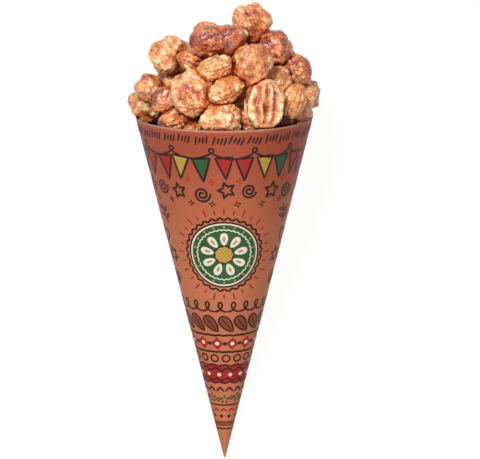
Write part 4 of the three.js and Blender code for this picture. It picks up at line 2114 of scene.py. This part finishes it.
@dataclass(frozen=True)
class AlmondSlivers:
    """Slivers of blanched almond that came off in the pan and stuck to the coats.

    Attributes:
        finish: their colours, from their edges to their crests.
        crust: how high they are on the finish's scale, from 0 to 1.
        broad: half a sliver's width, as a share of its length.
        thick: half its thickness, in metres.
        sag: how far its ends lie below its middle, as a share of half its length.
        raised: how far its middle stands over the coat, in metres.
        footing: how much of the coat round its place it lies along, in metres.
        slivers: where each one is.
    """

    finish: CoatFinish = CoatFinish(
        hollow=(0.52, 0.21, 0.06),
        syrup=(0.72, 0.36, 0.12),
        amber=(0.88, 0.62, 0.30),
        toffee=(0.94, 0.76, 0.47),
        crystal=(0.98, 0.90, 0.72),
    )
    crust: float = 0.6
    broad: float = 0.22
    thick: float = 0.75 * MM
    sag: float = 0.35
    raised: float = 0.25 * MM
    footing: float = 1.6 * MM
    slivers: tuple[Sliver, ...] = (
        Sliver((0.4, 108.6, 130.0), Line.FROM_ABOVE, -35.0, 6.2),
        Sliver((-3.9, 87.8, 130.0), Line.FROM_ABOVE, 14.0, 5.4),
        Sliver((-18.0, 104.6, 130.0), Line.FROM_ABOVE, 10.0, 5.0),
        Sliver((11.0, 121.4, 130.0), Line.FROM_ABOVE, 50.0, 6.4),
        Sliver((6.5, 93.5, 130.0), Line.FROM_ABOVE, 105.0, 4.4),
        Sliver((27.0, 97.0, 130.0), Line.FROM_ABOVE, 70.0, 4.8),
        Sliver((-29.0, 92.0, 130.0), Line.FROM_ABOVE, -20.0, 4.2),
        Sliver((-14.0, 190.0, 34.0), Line.FROM_MOUTH, 25.0, 5.6),
        Sliver((9.0, 190.0, 52.0), Line.FROM_MOUTH, -50.0, 5.0),
        Sliver((22.0, 190.0, 30.0), Line.FROM_MOUTH, 80.0, 4.6),
        Sliver((-2.0, 190.0, 22.0), Line.FROM_MOUTH, 5.0, 4.8),
        Sliver((-90.0, 125.0, 55.0), Line.FROM_LEFT, 40.0, 5.2),
        Sliver((90.0, 130.0, 50.0), Line.FROM_RIGHT, -30.0, 5.0),
    )

    def add(self, work: bmesh.types.BMesh, sliver: Sliver, place: Vector, out: Vector, number: int) -> None:
        """Adds one sliver, pointed at both ends and bent to lie on the coat.

        Args:
            work: the mesh that it goes into.
            sliver: its turn and length.
            place: where it lies.
            out: away from the coat.
            number: sets its unevenness.
        """
        first = out.cross(Vector((0.31, 0.2, 0.93))).normalized()
        along = Quaternion(out, math.radians(sliver.turn)) @ first
        across = out.cross(along)
        half, wide = sliver.length * MM / 2, sliver.length * MM * self.broad
        away = Vector((number * 3.7, number * 1.3, 0.0))
        for corner in bmesh.ops.create_icosphere(work, subdivisions=4, radius=1.0)["verts"]:
            x, y, z = corner.co
            uneven = noise.noise(corner.co * 1.9 + away) * 0.22 + 1.0
            taper = (1.0 - 0.62 * x * x) * uneven
            lean = 0.3 * x * wide * (1 if number % 2 else -1)
            rise = z * self.thick * taper - self.sag * half * x * x + self.raised
            corner.co = place + along * (x * half) + across * (y * wide * taper + lean) + out * rise

    def build(self, coats: Sequence[bpy.types.Object]) -> bpy.types.Object:
        """Sticks every sliver on the coat that its line meets.

        Args:
            coats: the coated nuts.

        Returns:
            One piece with all the slivers.
        """
        heap = faces_of(coat.data for coat in coats)
        work = bmesh.new()
        for number, sliver in enumerate(self.slivers):
            aim = Vector(sliver.aim.value).normalized()
            place, _, _, _ = heap.ray_cast(Vector(sliver.start) * MM, aim)
            if place is None:
                log.info("sliver %d meets no nut", number)
                continue
            around = [facing for _, facing, _, _ in heap.find_nearest_range(place, self.footing)]
            out = sum(around, Vector()).normalized()
            self.add(work, sliver, place, out, number)
        mesh = bpy.data.meshes.new("almond_slivers")
        work.to_mesh(mesh)
        work.free()
        mesh.shade_smooth()
        crust = mesh.attributes.new("crust", "FLOAT", "POINT")
        crust.data.foreach_set("value", [self.crust] * len(mesh.vertices))
        mesh.materials.append(self.finish.material("blanched almond"))
        piece = put_in_scene(mesh.name, mesh)
        NutKind.ALMOND.slot
        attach(piece, ROOT)
        log.info("%s: %d faces", piece.name, len(mesh.polygons))
        return piece


# The studio


@dataclass(frozen=True)
class Lamp:
    """A soft square lamp that shines at the middle of the bag.

    Attributes:
        name: the lamp's name.
        direction: where it hangs, seen from the bag.
        distance: how far away it hangs, in metres.
        width: how wide it is, in metres.
        share: its part of full daylight on a surface that faces it.
    """

    name: str
    direction: tuple[float, float, float]
    distance: float
    width: float
    share: float

    def build(self, target: Vector) -> None:
        """Hangs the lamp and turns it to the target.

        Args:
            target: the place that it shines at.
        """
        data = bpy.data.lights.new(self.name, "AREA")
        data.size = self.width
        data.energy = self.share * (math.pi * self.distance) ** 2
        lamp = put_in_scene(self.name, data)
        aim = Vector(self.direction).normalized()
        lamp.location = target + aim * self.distance
        lamp.rotation_mode = "QUATERNION"
        lamp.rotation_quaternion = aim.to_track_quat("Z", "Y")


@dataclass(frozen=True)
class Studio:
    """The pale floor, the soft light, and the camera that looks down on the bag.

    Attributes:
        target: what the camera looks at.
        distance: how far from it the camera is, in metres.
        tilt: how far the camera leans from straight down, in degrees.
        lens: its focal length, in millimetres.
        ambient: how bright the even light from all round is.
        lit: the middle of what the lamps shine at.
        lamps: the lamps.
        floor_reach: how far the floor goes each way, in metres.
        floor_level: how high it is, in metres.
        floor_colour: its colour in the bag's shadow and in reflected light.
        floor_glow: how bright it shows besides.
        floor_share: how much of that glow the camera sees.
    """

    target: tuple[float, float, float] = (0.00798, 0.02498, 0.045)
    distance: float = 1.4
    tilt: float = 1.767
    lens: float = 207.64
    ambient: float = 0.25
    lit: tuple[float, float, float] = (0.0, 0.02, 0.03)
    lamps: tuple[Lamp, ...] = (
        Lamp("key lamp", (-0.3, 0.5, 1.0), 1.15, 0.3, 0.84),
        Lamp("front lamp", (0.22, -0.7, 1.0), 1.3, 0.6, 0.3),
    )
    floor_reach: float = 6.0
    floor_level: float = -0.0001
    floor_colour: Colour = (0.36, 0.33, 0.31)
    floor_glow: float = 1.33
    floor_share: float = 0.7

    def camera(self) -> None:
        """Sets up the camera."""
        data = bpy.data.cameras.new("camera")
        data.lens = self.lens
        data.sensor_width = 36.0
        data.clip_start, data.clip_end = 0.05, 20.0
        camera = put_in_scene("camera", data)
        tilt = math.radians(self.tilt)
        away = Vector((0.0, -math.sin(tilt), math.cos(tilt))) * self.distance
        camera.location = Vector(self.target) + away
        camera.rotation_euler = (tilt, 0.0, 0.0)
        bpy.context.scene.camera = camera

    @staticmethod
    def seen_share(sheet: NodeSheet, share: float) -> Value:
        """The share for rays from the camera or from a mirror or glass, and nothing for other rays.

        Args:
            sheet: the material's or the world's sheet.
            share: the share.

        Returns:
            The share for the ray at hand.
        """
        path = sheet.node("ShaderNodeLightPath")
        rays = ("Is Camera Ray", "Is Glossy Ray", "Is Transmission Ray")
        direct, mirrored, through = (Value(sheet, path.outputs[ray]) for ray in rays)
        return direct.most(mirrored).most(through) * share

    def floor(self) -> None:
        """Lays the floor, which shows nearly white and keeps the bag's shadow."""
        mesh = bpy.data.meshes.new("floor")
        reach = self.floor_reach
        sides = ((-reach, -reach), (reach, -reach), (reach, reach), (-reach, reach))
        corners = [(x, y, self.floor_level) for x, y in sides]
        mesh.from_pydata(corners, [], [(0, 1, 2, 3)])
        material = bpy.data.materials.new("pale floor")
        material.use_nodes = True
        material.node_tree.nodes.clear()
        sheet = NodeSheet(material.node_tree)
        matt = sheet.node("ShaderNodeBsdfDiffuse", None, {"Color": (*self.floor_colour, 1.0)})
        white = sheet.node("ShaderNodeEmission", None, {"Color": WHITE, "Strength": self.floor_glow})
        seen = self.seen_share(sheet, self.floor_share)
        blend = sheet.node("ShaderNodeMixShader", None, {0: seen, 1: matt.outputs[0], 2: white.outputs[0]})
        sheet.node("ShaderNodeOutputMaterial", None, {"Surface": blend.outputs[0]})
        mesh.materials.append(material)
        floor = put_in_scene("floor", mesh)

    def world(self) -> None:
        """Fills the studio with even light and shows white behind the floor."""
        world = bpy.data.worlds.new("studio")
        world.use_nodes = True
        world.node_tree.nodes.clear()
        sheet = NodeSheet(world.node_tree)
        seen = self.seen_share(sheet, 1.0)
        strength = self.ambient + seen * (1.0 - self.ambient)
        glow = sheet.node("ShaderNodeBackground", None, {"Color": WHITE, "Strength": strength})
        sheet.node("ShaderNodeOutputWorld", None, {"Surface": glow.outputs[0]})
        bpy.context.scene.world = world

    def build(self) -> None:
        """Sets up the camera, the floor, the lamps and the picture's tones."""
        self.camera()
        self.floor()
        self.world()
        for lamp in self.lamps:
            lamp.build(Vector(self.lit))
        bpy.context.scene.view_settings.view_transform = "Standard"


def main() -> None:
    """Builds the bag's card, print, nuts and slivers, and then the studio."""
    logging.basicConfig(level=logging.INFO, format="%(message)s")
    size = ConeSize()
    cone = PaperCone(size)
    cone.build()
    PrintedDesign(size, cone.ripple).build()
    coats = NutHeap(size).build()
    AlmondSlivers().build(coats)
    Studio().build()


if __name__ == "__main__":
    main()
